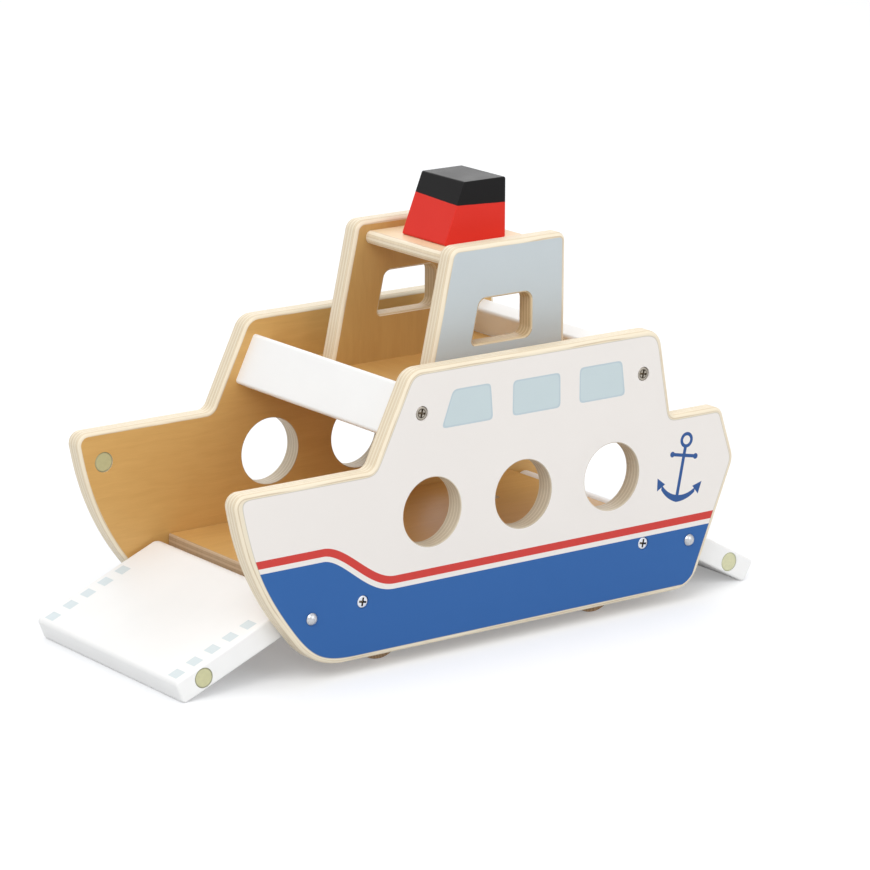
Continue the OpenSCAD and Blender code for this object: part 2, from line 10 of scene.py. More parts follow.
import logging
import math
from collections.abc import Callable, Sequence
from dataclasses import dataclass, field
from enum import Enum

import bmesh
import bpy
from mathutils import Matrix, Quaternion, Vector


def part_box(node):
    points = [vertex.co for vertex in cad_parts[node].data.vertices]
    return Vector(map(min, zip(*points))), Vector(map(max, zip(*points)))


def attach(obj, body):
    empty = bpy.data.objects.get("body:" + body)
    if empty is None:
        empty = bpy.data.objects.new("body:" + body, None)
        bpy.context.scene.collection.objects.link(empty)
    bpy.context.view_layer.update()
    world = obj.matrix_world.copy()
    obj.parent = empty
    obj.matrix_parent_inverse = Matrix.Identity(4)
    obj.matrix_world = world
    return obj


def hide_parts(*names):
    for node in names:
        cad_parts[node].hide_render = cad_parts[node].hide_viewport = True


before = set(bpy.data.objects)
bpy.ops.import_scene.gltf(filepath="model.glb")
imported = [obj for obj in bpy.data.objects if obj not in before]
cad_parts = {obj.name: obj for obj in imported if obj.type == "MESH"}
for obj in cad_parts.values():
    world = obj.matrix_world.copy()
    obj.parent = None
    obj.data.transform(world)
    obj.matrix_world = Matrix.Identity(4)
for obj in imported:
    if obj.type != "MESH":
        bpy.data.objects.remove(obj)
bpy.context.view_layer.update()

MM = 0.001
LOG = logging.getLogger("ferry")
# How near two places count as the same, in millimetres
NEAR = 0.05
# The least share of a normal along an axis that counts as facing it
FACING = 0.999
# How many faces go round a magnet and its pocket
MAGNET_STEPS = 64

Point = tuple[float, float]
Spot = tuple[float, float, float]
Colour = tuple[float, float, float]
Piece = bpy.types.Object
Material = bpy.types.Material
Socket = bpy.types.NodeSocket
Finish = Sequence[Material]
Pick = Callable[[Vector, Vector], bool]
BLACK: Colour = (0.0, 0.0, 0.0)
WHITE: Colour = (1.0, 1.0, 1.0)


class Named(Enum):
    """A choice whose name is used in lower case too."""

    @property
    def word(self) -> str:
        """Give the name in lower case."""
        return self.name.lower()


class Side(Named):
    """A side of the hull, valued by the sign of its Y."""

    PORT = -1
    STARBOARD = 1


class End(Named):
    """An end of the hull, valued by the sign of its X."""

    BOW = -1
    STERN = 1


def node_box(name: str) -> tuple[Vector, Vector]:
    """Give a CAD node's box.

    Args:
        name: The node.

    Returns:
        Its lowest and highest corner, in millimetres.
    """
    low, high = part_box(name)
    return low / MM, high / MM


def node_axis(name: str) -> Point:
    """Give the X and Z of the middle of a CAD node's box, in millimetres."""
    low, high = node_box(name)
    return (low.x + high.x) / 2, (low.z + high.z) / 2


# The middle of the hull is the car deck's middle
MID_X = node_axis("car_deck")[0]


def linear(red: int, green: int, blue: int) -> Colour:
    """Turn a colour as a screen shows it into the linear colour that a shader takes.

    Args:
        red: From 0 to 255.
        green: From 0 to 255.
        blue: From 0 to 255.

    Returns:
        The linear red, green and blue, from 0 to 1.
    """
    def channel(value: int) -> float:
        """Turn one channel into its linear value."""
        share = value / 255
        return share / 12.92 if share <= 0.04045 else ((share + 0.055) / 1.055) ** 2.4
    return channel(red), channel(green), channel(blue)


# Shader maths


def operator(operation: str, turned: bool = False) -> Callable[..., "Value"]:
    """Make a method of Value that adds a Math node.

    Args:
        operation: The node's operation.
        turned: Whether the value comes after the other operands.

    Returns:
        The method.
    """
    def method(value: "Value", *others: "Value | float") -> "Value":
        """Add the Math node."""
        operands = (*others, value) if turned else (value, *others)
        return value.graph.math(operation, *operands)
    return method


class Value:
    """The number that a socket carries, with the arithmetic that the finishes use."""

    __add__ = __radd__ = operator("ADD")
    __mul__ = __rmul__ = operator("MULTIPLY")
    __sub__ = operator("SUBTRACT")
    __rsub__ = operator("SUBTRACT", turned=True)
    __truediv__ = operator("DIVIDE")
    __abs__ = operator("ABSOLUTE")
    least = operator("MINIMUM")
    most = operator("MAXIMUM")
    root = operator("SQRT")
    part = operator("FRACT")
    whole = operator("FLOOR")

    def __init__(self, graph: "Graph", socket: Socket) -> None:
        """Wrap a socket of a graph."""
        self.graph = graph
        self.socket = socket

    def __neg__(self) -> "Value":
        """Give the value with the other sign."""
        return self * -1.0

    def swing(self) -> "Value":
        """Give how far a noise is from its average."""
        return self - 0.5

    def ramp(self, low: float, high: float) -> "Value":
        """Rise from 0 at low to 1 at high and stay there, or fall where low is above high.

        Args:
            low: Where the result is 0.
            high: Where the result is 1.

        Returns:
            The share of the way, from 0 to 1.
        """
        made = self.graph.add("ShaderNodeMapRange", {"clamp": True},
                              {"Value": self, "From Min": low, "From Max": high})
        return Value(self.graph, made.outputs["Result"])

    def inside(self, soft: float = 0.12) -> "Value":
        """Turn a signed distance into a mask.

        Args:
            soft: The width of the mask's edge.

        Returns:
            1 where this value is below 0, and 0 where it is above.
        """
        return self.ramp(soft / 2, -soft / 2)


@dataclass(frozen=True)
class Place:
    """A point's X, Y and Z in millimetres, as shader values."""

    x: Value
    y: Value
    z: Value

    def from_axis(self, x: float, z: float) -> Value:
        """Give the distance from an axis along Y."""
        off_x, off_z = self.x - x, self.z - z
        return (off_x * off_x + off_z * off_z).root()


class Graph:
    """The nodes of one material or of the world."""

    def __init__(self, name: str, world: bool = False) -> None:
        """Start an empty material or world.

        Args:
            name: Its name.
            world: Whether it is a world.
        """
        self.owner = (bpy.data.worlds if world else bpy.data.materials).new(name)
        self.owner.use_nodes = True
        self.tree = self.owner.node_tree
        self.tree.nodes.clear()

    def add(self, kind: str, settings: dict | None = None,
            inputs: dict | None = None) -> bpy.types.Node:
        """Add any node.

        Args:
            kind: The node's type.
            settings: What is set on the node itself, before its sockets.
            inputs: Values or links by socket name or number.

        Returns:
            The node.
        """
        node = self.tree.nodes.new(kind)
        for key, setting in (settings or {}).items():
            setattr(node, key, setting)
        for key, given in (inputs or {}).items():
            self.feed(node.inputs[key], given)
        return node

    def feed(self, socket: Socket, given: object) -> None:
        """Link or set one socket.

        Args:
            socket: The socket.
            given: A Value, another socket, a number, a colour or a vector.
        """
        if isinstance(given, Value):
            self.tree.links.new(given.socket, socket)
        elif isinstance(given, Socket):
            self.tree.links.new(given, socket)
        elif socket.type == "RGBA" and isinstance(given, tuple):
            socket.default_value = (*given, 1.0)
        else:
            socket.default_value = given

    def math(self, operation: str, *operands: Value | float) -> Value:
        """Add a Math node.

        Args:
            operation: The node's operation.
            *operands: Its values in order.

        Returns:
            The result.
        """
        node = self.add("ShaderNodeMath", {"operation": operation}, dict(enumerate(operands)))
        return Value(self, node.outputs[0])

    def place(self) -> Place:
        """Give the shaded point's place on the object, in millimetres.

        Returns:
            The place.
        """
        coordinate = self.add("ShaderNodeTexCoord").outputs["Object"]
        scaled = self.add("ShaderNodeVectorMath", {"operation": "SCALE"},
                          {"Vector": coordinate, "Scale": 1 / MM})
        parts = self.add("ShaderNodeSeparateXYZ", None, {"Vector": scaled.outputs["Vector"]})
        return Place(*(Value(self, parts.outputs[axis]) for axis in "XYZ"))

    def seen(self) -> Value:
        """Give 1 on rays from the camera or from a glossy face, and 0 on all others."""
        rays = self.add("ShaderNodeLightPath").outputs
        return Value(self, rays["Is Camera Ray"]).most(Value(self, rays["Is Glossy Ray"]))

    def vector(self, x: Value | float, y: Value | float, z: Value | float) -> Socket:
        """Join three values to a vector."""
        return self.add("ShaderNodeCombineXYZ", None, {"X": x, "Y": y, "Z": z}).outputs["Vector"]

    def noise(self, at: Socket, scale: float = 1.0, detail: float = 2.0, rough: float = 0.5) -> Value:
        """Give a noise from 0 to 1 that averages a half.

        Args:
            at: Where it is read.
            scale: How many features go into one unit.
            detail: How many finer layers it has.
            rough: How strong the finer layers are.

        Returns:
            The noise.
        """
        node = self.add("ShaderNodeTexNoise", {"noise_dimensions": "3D"},
                        {"Vector": at, "Scale": scale, "Detail": detail, "Roughness": rough})
        return Value(self, node.outputs["Fac"])

    def noise_at(self, at: Place, stretch: Spot, **layers: float) -> Value:
        """Give a noise on the object.

        Args:
            at: The point.
            stretch: How many features go into a millimetre along each axis.
            **layers: What else the noise is told.

        Returns:
            The noise.
        """
        axes = zip((at.x, at.y, at.z), stretch)
        return self.noise(self.vector(*(v if share == 1 else v * share for v, share in axes)), **layers)

    def mix(self, share: Value | float, first: object, second: object) -> Socket:
        """Mix two colours.

        Args:
            share: How much of the second colour there is.
            first: The colour at 0.
            second: The colour at 1.

        Returns:
            The mixed colour.
        """
        node = self.add("ShaderNodeMix", {"data_type": "RGBA", "blend_type": "MIX"})
        self.feed(node.inputs["Factor"], share)
        colours = [socket for socket in node.inputs if socket.type == "RGBA"]
        self.feed(colours[0], first)
        self.feed(colours[1], second)
        return next(socket for socket in node.outputs if socket.type == "RGBA")

    def bump(self, height: Value, depth: float, strength: float = 1.0) -> Socket:
        """Turn a height from 0 to 1 into a normal.

        Args:
            height: The height.
            depth: The size of 1 in millimetres.
            strength: How much of it shows.

        Returns:
            The normal.
        """
        node = self.add("ShaderNodeBump", None,
                        {"Height": height, "Distance": depth * MM, "Strength": strength})
        return node.outputs["Normal"]

    def finish(self, colour: object, rough: Value | float, normal: object = None,
               **fixed: float) -> Material:
        """End the material in one surface.

        Args:
            colour: The base colour.
            rough: The roughness.
            normal: The bumped normal, if there is one.
            **fixed: Numbers for other sockets, with underscores for spaces.

        Returns:
            The material.
        """
        inputs = {"Base Color": colour, "Roughness": rough}
        inputs.update({key.replace("_", " "): number for key, number in fixed.items()})
        if normal is not None:
            inputs["Normal"] = normal
        surface = self.add("ShaderNodeBsdfPrincipled", None, inputs)
        self.add("ShaderNodeOutputMaterial", None, {"Surface": surface.outputs["BSDF"]})
        return self.owner


@dataclass(frozen=True)
class Corner:
    """A corner of an outline in X and Z, and the radius that rounds it."""

    x: float
    z: float
    r: float = 0.0


# Finishes


class Grain(Enum):
    """The axis that the wood's fibres run along."""

    ALONG_X = 0
    ALONG_Y = 1
    ALONG_Z = 2


@dataclass(frozen=True)
class WoodLook:
    """What the fibres of a wood face look like.

    Attributes:
        figure: The slow light and dark figure, from 0 to 1.
        fibre: The fine fibres, from 0 to 1.
    """

    figure: Value
    fibre: Value


# How many features of the figure and of the fibres go into a millimetre, across and along the grain
FIGURE_ACROSS, FIGURE_ALONG = 1 / 14.0, 1 / 90.0
FIBRE_ACROSS, FIBRE_ALONG = 3.2, 1 / 9.0


def wood_look(graph: Graph, at: Place, grain: Grain, seed: float) -> WoodLook:
    """Draw the figure and the fibres of sliced wood.

    Args:
        graph: The material's nodes.
        at: The point.
        grain: The fibres' axis.
        seed: Shifts the pattern.

    Returns:
        The figure and the fibres.
    """
    slow, fine = [FIGURE_ACROSS] * 3, [FIBRE_ACROSS] * 3
    slow[grain.value], fine[grain.value] = FIGURE_ALONG, FIBRE_ALONG
    slow_at = graph.vector(at.x * slow[0] + seed, at.y * slow[1], at.z * slow[2])
    fine_at = graph.vector(at.x * fine[0] + seed, at.y * fine[1], at.z * fine[2])
    waves = graph.noise(slow_at, detail=3.0, rough=0.55)
    bands = abs(((waves * 7.0).part() - 0.5) * 2.0)
    figure = waves * 0.65 + bands * 0.35
    return WoodLook(figure, graph.noise(fine_at, detail=3.0, rough=0.65))


@dataclass(frozen=True)
class Veneer:
    """A clear-lacquered wood face.

    Attributes:
        name: The material's name.
        dark: The darkest wood.
        light: The lightest wood.
        grain: The fibres' axis.
        rough: The lacquer's roughness.
        seed: Shifts the pattern.
        figure: How strong the figure is.
        fibre: How strong the fibres are.
    """

    name: str
    dark: Colour
    light: Colour
    grain: Grain = Grain.ALONG_X
    rough: float = 0.45
    seed: float = 0.0
    figure: float = 0.4
    fibre: float = 0.5

    def make(self) -> Material:
        """Make the material.

        Returns:
            The finished material.
        """
        graph = Graph(self.name)
        look = wood_look(graph, graph.place(), self.grain, self.seed)
        shade = look.figure.swing() * self.figure + look.fibre.swing() * self.fibre + 0.5
        colour = graph.mix(shade.ramp(0.0, 1.0), self.dark, self.light)
        rough = self.rough + look.fibre.swing() * 0.25
        return graph.finish(colour, rough, graph.bump(look.fibre, 0.04), Coat_Weight=0.08,
                            Coat_Roughness=0.3, Specular_IOR_Level=0.35)


class Layered(Enum):
    """The axis that plies are stacked along."""

    Y = "y"
    Z = "z"


@dataclass(frozen=True)
class CutPly:
    """The cut and rounded edge of plywood, where the plies show as lines.

    Attributes:
        name: The material's name.
        stack: The axis across the plies.
        start: Where the outermost ply starts on that axis, as a distance from the middle.
        thickness: The plywood's thickness.
        plies: How many plies there are.
        light: The long-grain plies.
        dark: The end-grain plies.
        glue: The lines between them.
        mirrored: Whether the axis is read from the middle both ways.
    """

    name: str
    stack: Layered
    start: float
    thickness: float
    plies: int
    light: Colour = linear(240, 228, 204)
    dark: Colour = linear(221, 202, 170)
    glue: Colour = linear(178, 152, 120)
    mirrored: bool = True

    def make(self) -> Material:
        """Make the material.

        Returns:
            The finished material.
        """
        graph = Graph(self.name)
        at = graph.place()
        across = getattr(at, self.stack.value)
        if self.mirrored:
            across = abs(across)
        wander = graph.noise_at(at, (0.035, 0.035, 0.035), detail=1.0).swing() * 0.5
        ply = ((across - self.start) * (self.plies / self.thickness) + wander)
        rest = ply.part()
        number = ply.whole()
        odd = (number * 0.5).part() * 2.0
        pores = graph.noise_at(at, (1.1, 1.1, 1.1), scale=2.4, detail=4.0, rough=0.7)
        tone = graph.noise_at(at, (0.05, 0.9, 0.05), detail=2.0)
        end_grain = (odd * 0.62 + tone.swing() * 0.7 + pores.swing() * odd * 0.9).ramp(0.0, 1.0)
        wood = graph.mix(end_grain, self.light, self.dark)
        line = abs(rest - 0.5).ramp(0.4, 0.5) * 0.5
        colour = graph.mix(line, wood, self.glue)
        height = pores * odd * 0.6 - line
        rough = 0.5 + pores.swing() * 0.3
        return graph.finish(colour, rough, graph.bump(height, 0.05), Coat_Weight=0.06,
                            Coat_Roughness=0.35, Specular_IOR_Level=0.35)


@dataclass(frozen=True)
class SatinPaint:
    """A satin paint over wood, which lets a little of the grain through.

    Attributes:
        name: The material's name.
        colour: The paint.
        grain: The wood's axis.
        rough: The paint's roughness.
        coat: How much clear gloss lies over it.
        shine: The paint's own specular level.
        seed: Shifts the grain.
        patch_at: How many patches go into a millimetre along each axis.
        patch_shade: How strongly the patches darken the paint.
        patch_rough: How strongly they change its roughness.
        wear: How dark the darkest patch is.
        depth: The depth of the fibres in millimetres.
        coat_rough: The clear gloss's roughness.
    """

    name: str
    colour: Colour
    grain: Grain = Grain.ALONG_Y
    rough: float = 0.42
    coat: float = 0.05
    shine: float = 0.25
    seed: float = 3.0
    patch_at: Spot = (0.06, 0.06, 0.06)
    patch_shade: float = 0.5
    patch_rough: float = 0.16
    wear: float = 0.07
    depth: float = 0.03
    coat_rough: float = 0.25

    def tint(self, graph: Graph, at: Place) -> object:
        """Give the paint's colour at a point."""
        del graph, at
        return self.colour

    def make(self) -> Material:
        """Make the material.

        Returns:
            The finished material.
        """
        graph = Graph(self.name)
        at = graph.place()
        look = wood_look(graph, at, self.grain, self.seed)
        patch = graph.noise_at(at, self.patch_at, detail=3.0)
        shade = patch.swing() * self.patch_shade + look.fibre.swing() * 0.3 + 0.25
        base = self.tint(graph, at)
        wear_and_edge_shade = graph.mix(self.wear, base, BLACK)
        rough = self.rough + patch.swing() * self.patch_rough + look.fibre.swing() * 0.1
        return graph.finish(graph.mix(shade.ramp(0.0, 1.0), base, wear_and_edge_shade), rough,
                            graph.bump(look.fibre, self.depth), Coat_Weight=self.coat,
                            Coat_Roughness=self.coat_rough, Specular_IOR_Level=self.shine)


@dataclass(frozen=True)
class BandedPaint(SatinPaint):
    """The funnel's paint, with a dark band round its top.

    Attributes:
        band: The band's colour.
        band_low: The band's lower edge at the front port corner.
        band_x: The X of that corner.
        band_y: Its Y.
        fall_x: How far the band's edge falls towards the stern, over the length.
        rise_y: How far it rises towards starboard, over the width.
    """

    band: Colour = linear(20, 19, 20)
    band_low: float = 0.0
    band_x: float = 0.0
    band_y: float = 0.0
    fall_x: float = 0.048
    rise_y: float = 0.038

    def tint(self, graph: Graph, at: Place) -> object:
        """Give the paint's colour at a point.

        Args:
            graph: The material's nodes.
            at: The point.

        Returns:
            The colour.
        """
        uneven = graph.noise_at(at, (0.3, 0.3, 0.3)) - 0.5
        low = (at.y - self.band_y) * self.rise_y - (at.x - self.band_x) * self.fall_x
        mask = (low + self.band_low - at.z + uneven * 0.25).inside(0.2)
        return graph.mix(mask, self.colour, self.band)


@dataclass(frozen=True)
class DashedPaint(SatinPaint):
    """A ramp's paint, with a row of dashes along either edge of its top.

    Attributes:
        dash: The dashes' colour.
        end: The ramp's end of the hull.
        pin: The pin's X and Z.
        low: How far the ramp leans below level, in degrees.
        half_t: Half of the ramp's thickness.
        length: The ramp's length from its pin.
        edge_y: The distance from the middle to the dashes' outer ends.
        dash_w: A dash's size across the ramp.
        dash_l: A dash's size along the ramp.
        pitch: The distance from one dash to the next.
        tip_gap: The gap between the tip and the outermost dash.
        root_gap: The distance from the pin to where the dashes stop.
    """

    dash: Colour = linear(218, 228, 231)
    end: End = End.BOW
    pin: Point = (0.0, 0.0)
    low: float = 0.0
    half_t: float = 5.5
    length: float = 65.0
    edge_y: float = 53.7
    dash_w: float = 6.5
    dash_l: float = 5.2
    pitch: float = 9.9
    tip_gap: float = 2.6
    root_gap: float = 16.0

    def tint(self, graph: Graph, at: Place) -> object:
        """Give the paint's colour at a point.

        Args:
            graph: The material's nodes.
            at: The point.

        Returns:
            The colour.
        """
        cos, sin = math.cos(math.radians(self.low)), math.sin(math.radians(self.low))
        across_x, across_z = (at.x - self.pin[0]) * float(self.end.value), at.z - self.pin[1]
        along = across_x * cos - across_z * sin
        up = across_x * sin + across_z * cos
        from_tip = self.length - self.tip_gap - along
        turn = ((from_tip / self.pitch).part() - self.dash_l / self.pitch / 2) * self.pitch
        dash = (abs(turn) - self.dash_l / 2).inside()
        column = (abs(abs(at.y) - (self.edge_y - self.dash_w / 2)) - self.dash_w / 2).inside()
        row = (self.root_gap - along).inside() * (-from_tip).inside()
        top = (self.half_t - 0.3 - up).inside()
        return graph.mix(dash * column * row * top, self.colour, self.dash)


@dataclass(frozen=True)
class Window:
    """A window that is printed on a side.

    Attributes:
        low_left: X of its lower front corner.
        top_left: X of its upper front corner.
        low_right: X of its lower rear corner.
        top_right: X of its upper rear corner.
        low: Z of its lower edge.
        top: Z of its upper edge.
    """

    low_left: float
    top_left: float
    low_right: float
    top_right: float
    low: float
    top: float

    def distance(self, graph: Graph, at: Place, round_by: float) -> Value:
        """Give the signed distance to the window's edge.

        Args:
            graph: The material's nodes.
            at: The point.
            round_by: How strongly the corners are rounded.

        Returns:
            The distance, below 0 inside.
        """
        tall = self.top - self.low
        left_run = (self.top_left - self.low_left) / tall
        right_run = (self.top_right - self.low_right) / tall
        rise = at.z - self.low
        left = (self.low_left + rise * left_run - at.x) * (1 / math.hypot(1, left_run))
        right = (at.x - self.low_right - rise * right_run) * (1 / math.hypot(1, right_run))
        level = graph.math("SMOOTH_MAX", self.low - at.z, at.z - self.top, round_by)
        upright = graph.math("SMOOTH_MAX", left, right, round_by)
        return graph.math("SMOOTH_MAX", level, upright, round_by)


@dataclass(frozen=True)
class Anchor:
    """A plain ship's anchor that is printed near the stern.

    Attributes:
        foot_x: X of the crown at the foot.
        foot_z: Z of the crown.
        lean: How far it leans towards the stern, in degrees.
        ring_up: Distance from the crown to the ring's middle.
        ring_r: The ring's radius at the middle of its line.
        line_w: The width of the ring's and the stock's lines.
        shank_w: The shank's width.
        stock_up: Distance from the crown to the stock.
        stock_half: Half of the stock's length.
        ball_r: The radius of the balls on the stock.
        arm_half: Distance from the shank to where the flukes sit on the arms.
        arm_up: Height of that place over the crown.
        crown_w: The arms' width at the crown.
        crown_point: How strongly the crown comes to a point below.
        arm_w: Their width at the flukes.
        fluke: The tip and the two barbs of a fluke, out from the shank and up from the crown.
    """

    foot_x: float = 96.7
    foot_z: float = 49.0
    lean: float = 11.3
    ring_up: float = 29.0
    ring_r: float = 2.85
    line_w: float = 1.6
    shank_w: float = 1.8
    stock_up: float = 21.8
    stock_half: float = 6.9
    ball_r: float = 1.35
    arm_half: float = 10.0
    arm_up: float = 6.4
    crown_w: float = 3.3
    crown_point: float = 2.2
    arm_w: float = 2.4
    fluke: tuple[Point, ...] = ((13.3, 10.4), (12.3, 4.4), (8.2, 7.9))

    def distance(self, at: Place) -> Value:
        """Give the signed distance to the anchor's edge, below 0 inside.

        Args:
            at: The point.

        Returns:
            The distance.
        """
        cos, sin = math.cos(math.radians(self.lean)), math.sin(math.radians(self.lean))
        out_x, out_z = at.x - (MID_X + self.foot_x), at.z - self.foot_z
        u = abs(out_x * cos - out_z * sin)
        v = out_x * sin + out_z * cos

        def from_point(u_at: float, v_at: float) -> Value:
            """Give the distance to a point."""
            return ((u - u_at) * (u - u_at) + (v - v_at) * (v - v_at)).root()

        def past_line(start: Point, end: Point) -> Value:
            """Give the distance to the right of a line.

            Args:
                start: Where the line starts, out from the shank and up from the crown.
                end: Where it ends.

            Returns:
                The distance, above 0 on the right.
            """
            du, dv = end[0] - start[0], end[1] - start[1]
            reach = math.hypot(du, dv)
            return ((u - start[0]) * dv - (v - start[1]) * du) * (1 / reach)

        ring = abs(from_point(0.0, self.ring_up) - self.ring_r) - self.line_w / 2
        shank_top = self.ring_up - self.ring_r
        shank = (u - self.shank_w / 2).most(v - shank_top).most(self.crown_w / 2 - v)
        stock = (abs(v - self.stock_up) - self.line_w / 2).most(u - self.stock_half)
        ball = from_point(self.stock_half, self.stock_up) - self.ball_r
        low_up = self.arm_up - self.arm_w / 2
        high_up = self.arm_up + self.arm_w / 2 - self.crown_w
        point = self.crown_point
        outer_up = ((self.arm_half + point) ** 2 - point ** 2 + low_up ** 2) / (2 * low_up)
        inner_r = (self.arm_half ** 2 + high_up ** 2) / (2 * high_up)
        outer = from_point(-point, outer_up) - math.hypot(point, outer_up)
        inner = inner_r - from_point(0.0, self.crown_w + inner_r)
        arms = outer.most(inner).most(u - self.arm_half).most(v - self.arm_up - self.arm_w)
        tip, out_barb, in_barb = self.fluke
        fluke = past_line(out_barb, tip).most(past_line(tip, in_barb))
        fluke = fluke.most(past_line(in_barb, out_barb))
        return ring.least(shank).least(stock).least(ball).least(arms).least(fluke)


@dataclass(frozen=True)
class SidePrint(SatinPaint):
    """The print on the outside of a hull side: white over blue, a red stripe, windows, an anchor.

    What it shares with SatinPaint is described there.

    Attributes:
        blue: The lower colour.
        ink: The anchor's blue.
        red: The stripe.
        glass: The windows.
        glass_rim: The windows' rims.
        stripe_front: Height of the stripe's upper edge at the bow.
        stripe_rear: Height of its upper edge towards the stern.
        fall_from: Where the stripe starts to fall, from the middle of the hull.
        fall_to: Where it is level again.
        stripe_w: The stripe's width.
        gap_w: The width of the white line under it.
        window_round: How strongly the windows' corners are rounded.
        window_rim: The width of their rims.
        windows: The printed windows, from the middle of the hull.
        anchor: The printed anchor.
        outline: The side's corners, from the middle of the hull.
        margin: The bare wood between the side's edge and the print.
        forefoot_margin: The same along the bow below its knee.
        bow_margin: The same along the bow above its knee.
        hollow_round: How far the print's edge is rounded where the raised middle starts.
        wood: The bare wood.
        wear_and_edge_shade: The thin dark line between the print and the bare wood, a painted shade of
            the round edge.
    """

    name: str = "side_print"
    colour: Colour = linear(237, 232, 227)
    grain: Grain = Grain.ALONG_X
    rough: float = 0.46
    coat: float = 0.03
    shine: float = 0.22
    seed: float = 5.0
    patch_at: Spot = (0.03, 1, 0.03)
    patch_shade: float = 0.6
    patch_rough: float = 0.12
    wear: float = 0.06
    depth: float = 0.025
    coat_rough: float = 0.3
    blue: Colour = linear(46, 98, 164)
    ink: Colour = linear(46, 86, 146)
    red: Colour = linear(206, 64, 58)
    glass: Colour = linear(199, 213, 216)
    glass_rim: Colour = linear(188, 203, 210)
    stripe_front: float = 59.9
    stripe_rear: float = 41.5
    fall_from: float = -99.0
    fall_to: float = -61.0
    stripe_w: float = 3.55
    gap_w: float = 2.3
    window_round: float = 3.6
    window_rim: float = 0.7
    windows: tuple[Window, ...] = (
        Window(-36.2, -30.0, -8.2, -9.6, 103.6, 120.3),
        Window(2.5, 2.7, 29.2, 28.9, 103.5, 119.5),
        Window(39.8, 39.9, 65.9, 63.9, 103.7, 120.0))
    anchor: Anchor = field(default_factory=Anchor)
    outline: tuple[Corner, ...] = ()
    margin: float = 2.3
    forefoot_margin: float = 2.7
    bow_margin: float = 3.8
    hollow_round: float = 7.0
    wood: Colour = linear(236, 225, 202)
    # Painted shade: the colour of a thin dark line along the print's edge, where the face turns into the
    # round edge.
    wear_and_edge_shade: Colour = linear(136, 130, 120)

    def edge(self, graph: Graph, at: Place) -> Value:
        """Give the signed distance to the print's edge, below 0 where there is print.

        Args:
            graph: The material's nodes.
            at: The point, from the middle of the hull.

        Returns:
            The distance.
        """
        count = len(self.outline)

        def outside(number: int, margin: float) -> Value:
            """Give the distance outside the line that starts at a corner, and its margin.

            Args:
                number: The corner's place in the outline.
                margin: The bare margin along that line.

            Returns:
                The distance.
            """
            start, end = self.outline[number], self.outline[(number + 1) % count]
            dx, dz = end.x - start.x, end.z - start.z
            reach = math.hypot(dx, dz)
            return ((at.z - start.z) * dx - (at.x - start.x) * dz) * (1 / reach) + margin

        def round_at(number: int) -> float:
            """Give how far a smooth maximum reaches to round a corner as its radius does.

            Args:
                number: The corner's place in the outline.

            Returns:
                The reach.
            """
            here, before = self.outline[number], self.outline[number - 1]
            after = self.outline[(number + 1) % count]
            u = Vector((before.x - here.x, before.z - here.z))
            v = Vector((after.x - here.x, after.z - here.z))
            return 6 * max(here.r - self.margin, 0.5) * (1 - math.sin(u.angle(v) / 2))

        keel, knee, bow_top, hollow, front, rear, _, stern, knuckle, foot = range(count)
        lower = outside(foot, self.margin)
        for number, margin in ((keel, self.forefoot_margin), (knee, self.bow_margin),
                               (bow_top, self.margin), (stern, self.margin),
                               (knuckle, self.margin)):
            lower = graph.math("SMOOTH_MAX", lower, outside(number, margin), round_at(number))
        raised = outside(hollow, self.margin)
        for number in (front, rear):
            raised = graph.math("SMOOTH_MAX", raised, outside(number, self.margin),
                                round_at(number))
        raised = raised.most(self.outline[bow_top].z / 2 - at.z)
        return graph.math("SMOOTH_MIN", lower, raised, self.hollow_round)

    def bands(self, graph: Graph, at: Place) -> Socket:
        """Draw the white, the stripe and the blue.

        Args:
            graph: The material's nodes.
            at: The point.

        Returns:
            The colour, without windows and anchor.
        """
        run = self.fall_to - self.fall_from
        fall = self.stripe_front - self.stripe_rear
        share = (at.x - (MID_X + self.fall_from)).ramp(0.0, run)
        eased = share * share * (3.0 - share * 2.0)
        slope = share * (1.0 - share) * (6.0 * fall / run)
        over = (at.z - self.stripe_front + eased * fall) / (slope * slope + 1.0).root()
        red = over.inside() * (-self.stripe_w - over).inside()
        blue = (over + (self.stripe_w + self.gap_w)).inside()
        return graph.mix(blue, graph.mix(red, self.colour, self.red), self.blue)

    def tint(self, graph: Graph, at: Place) -> object:
        """Give the print's colour at a point.

        Args:
            graph: The material's nodes.
            at: The point.

        Returns:
            The colour.
        """
        colour = self.bands(graph, at)
        shifted = Place(at.x - MID_X, at.y, at.z)
        nearest = None
        for window in self.windows:
            edge = window.distance(graph, shifted, self.window_round)
            nearest = edge if nearest is None else nearest.least(edge)
        glass = graph.mix((nearest + self.window_rim).inside(0.4), self.glass_rim, self.glass)
        colour = graph.mix(nearest.inside(), colour, glass)
        colour = graph.mix(self.anchor.distance(at).inside(), colour, self.ink)
        edge = self.edge(graph, shifted)
        colour = graph.mix(edge.inside(0.3), self.wood, colour)
        # A thin dark line along the print's edge paints the shade of the round edge.
        wear_and_edge_shade = (abs(edge) - 0.15).inside(0.3)
        return graph.mix(wear_and_edge_shade * 0.4, colour, self.wear_and_edge_shade)


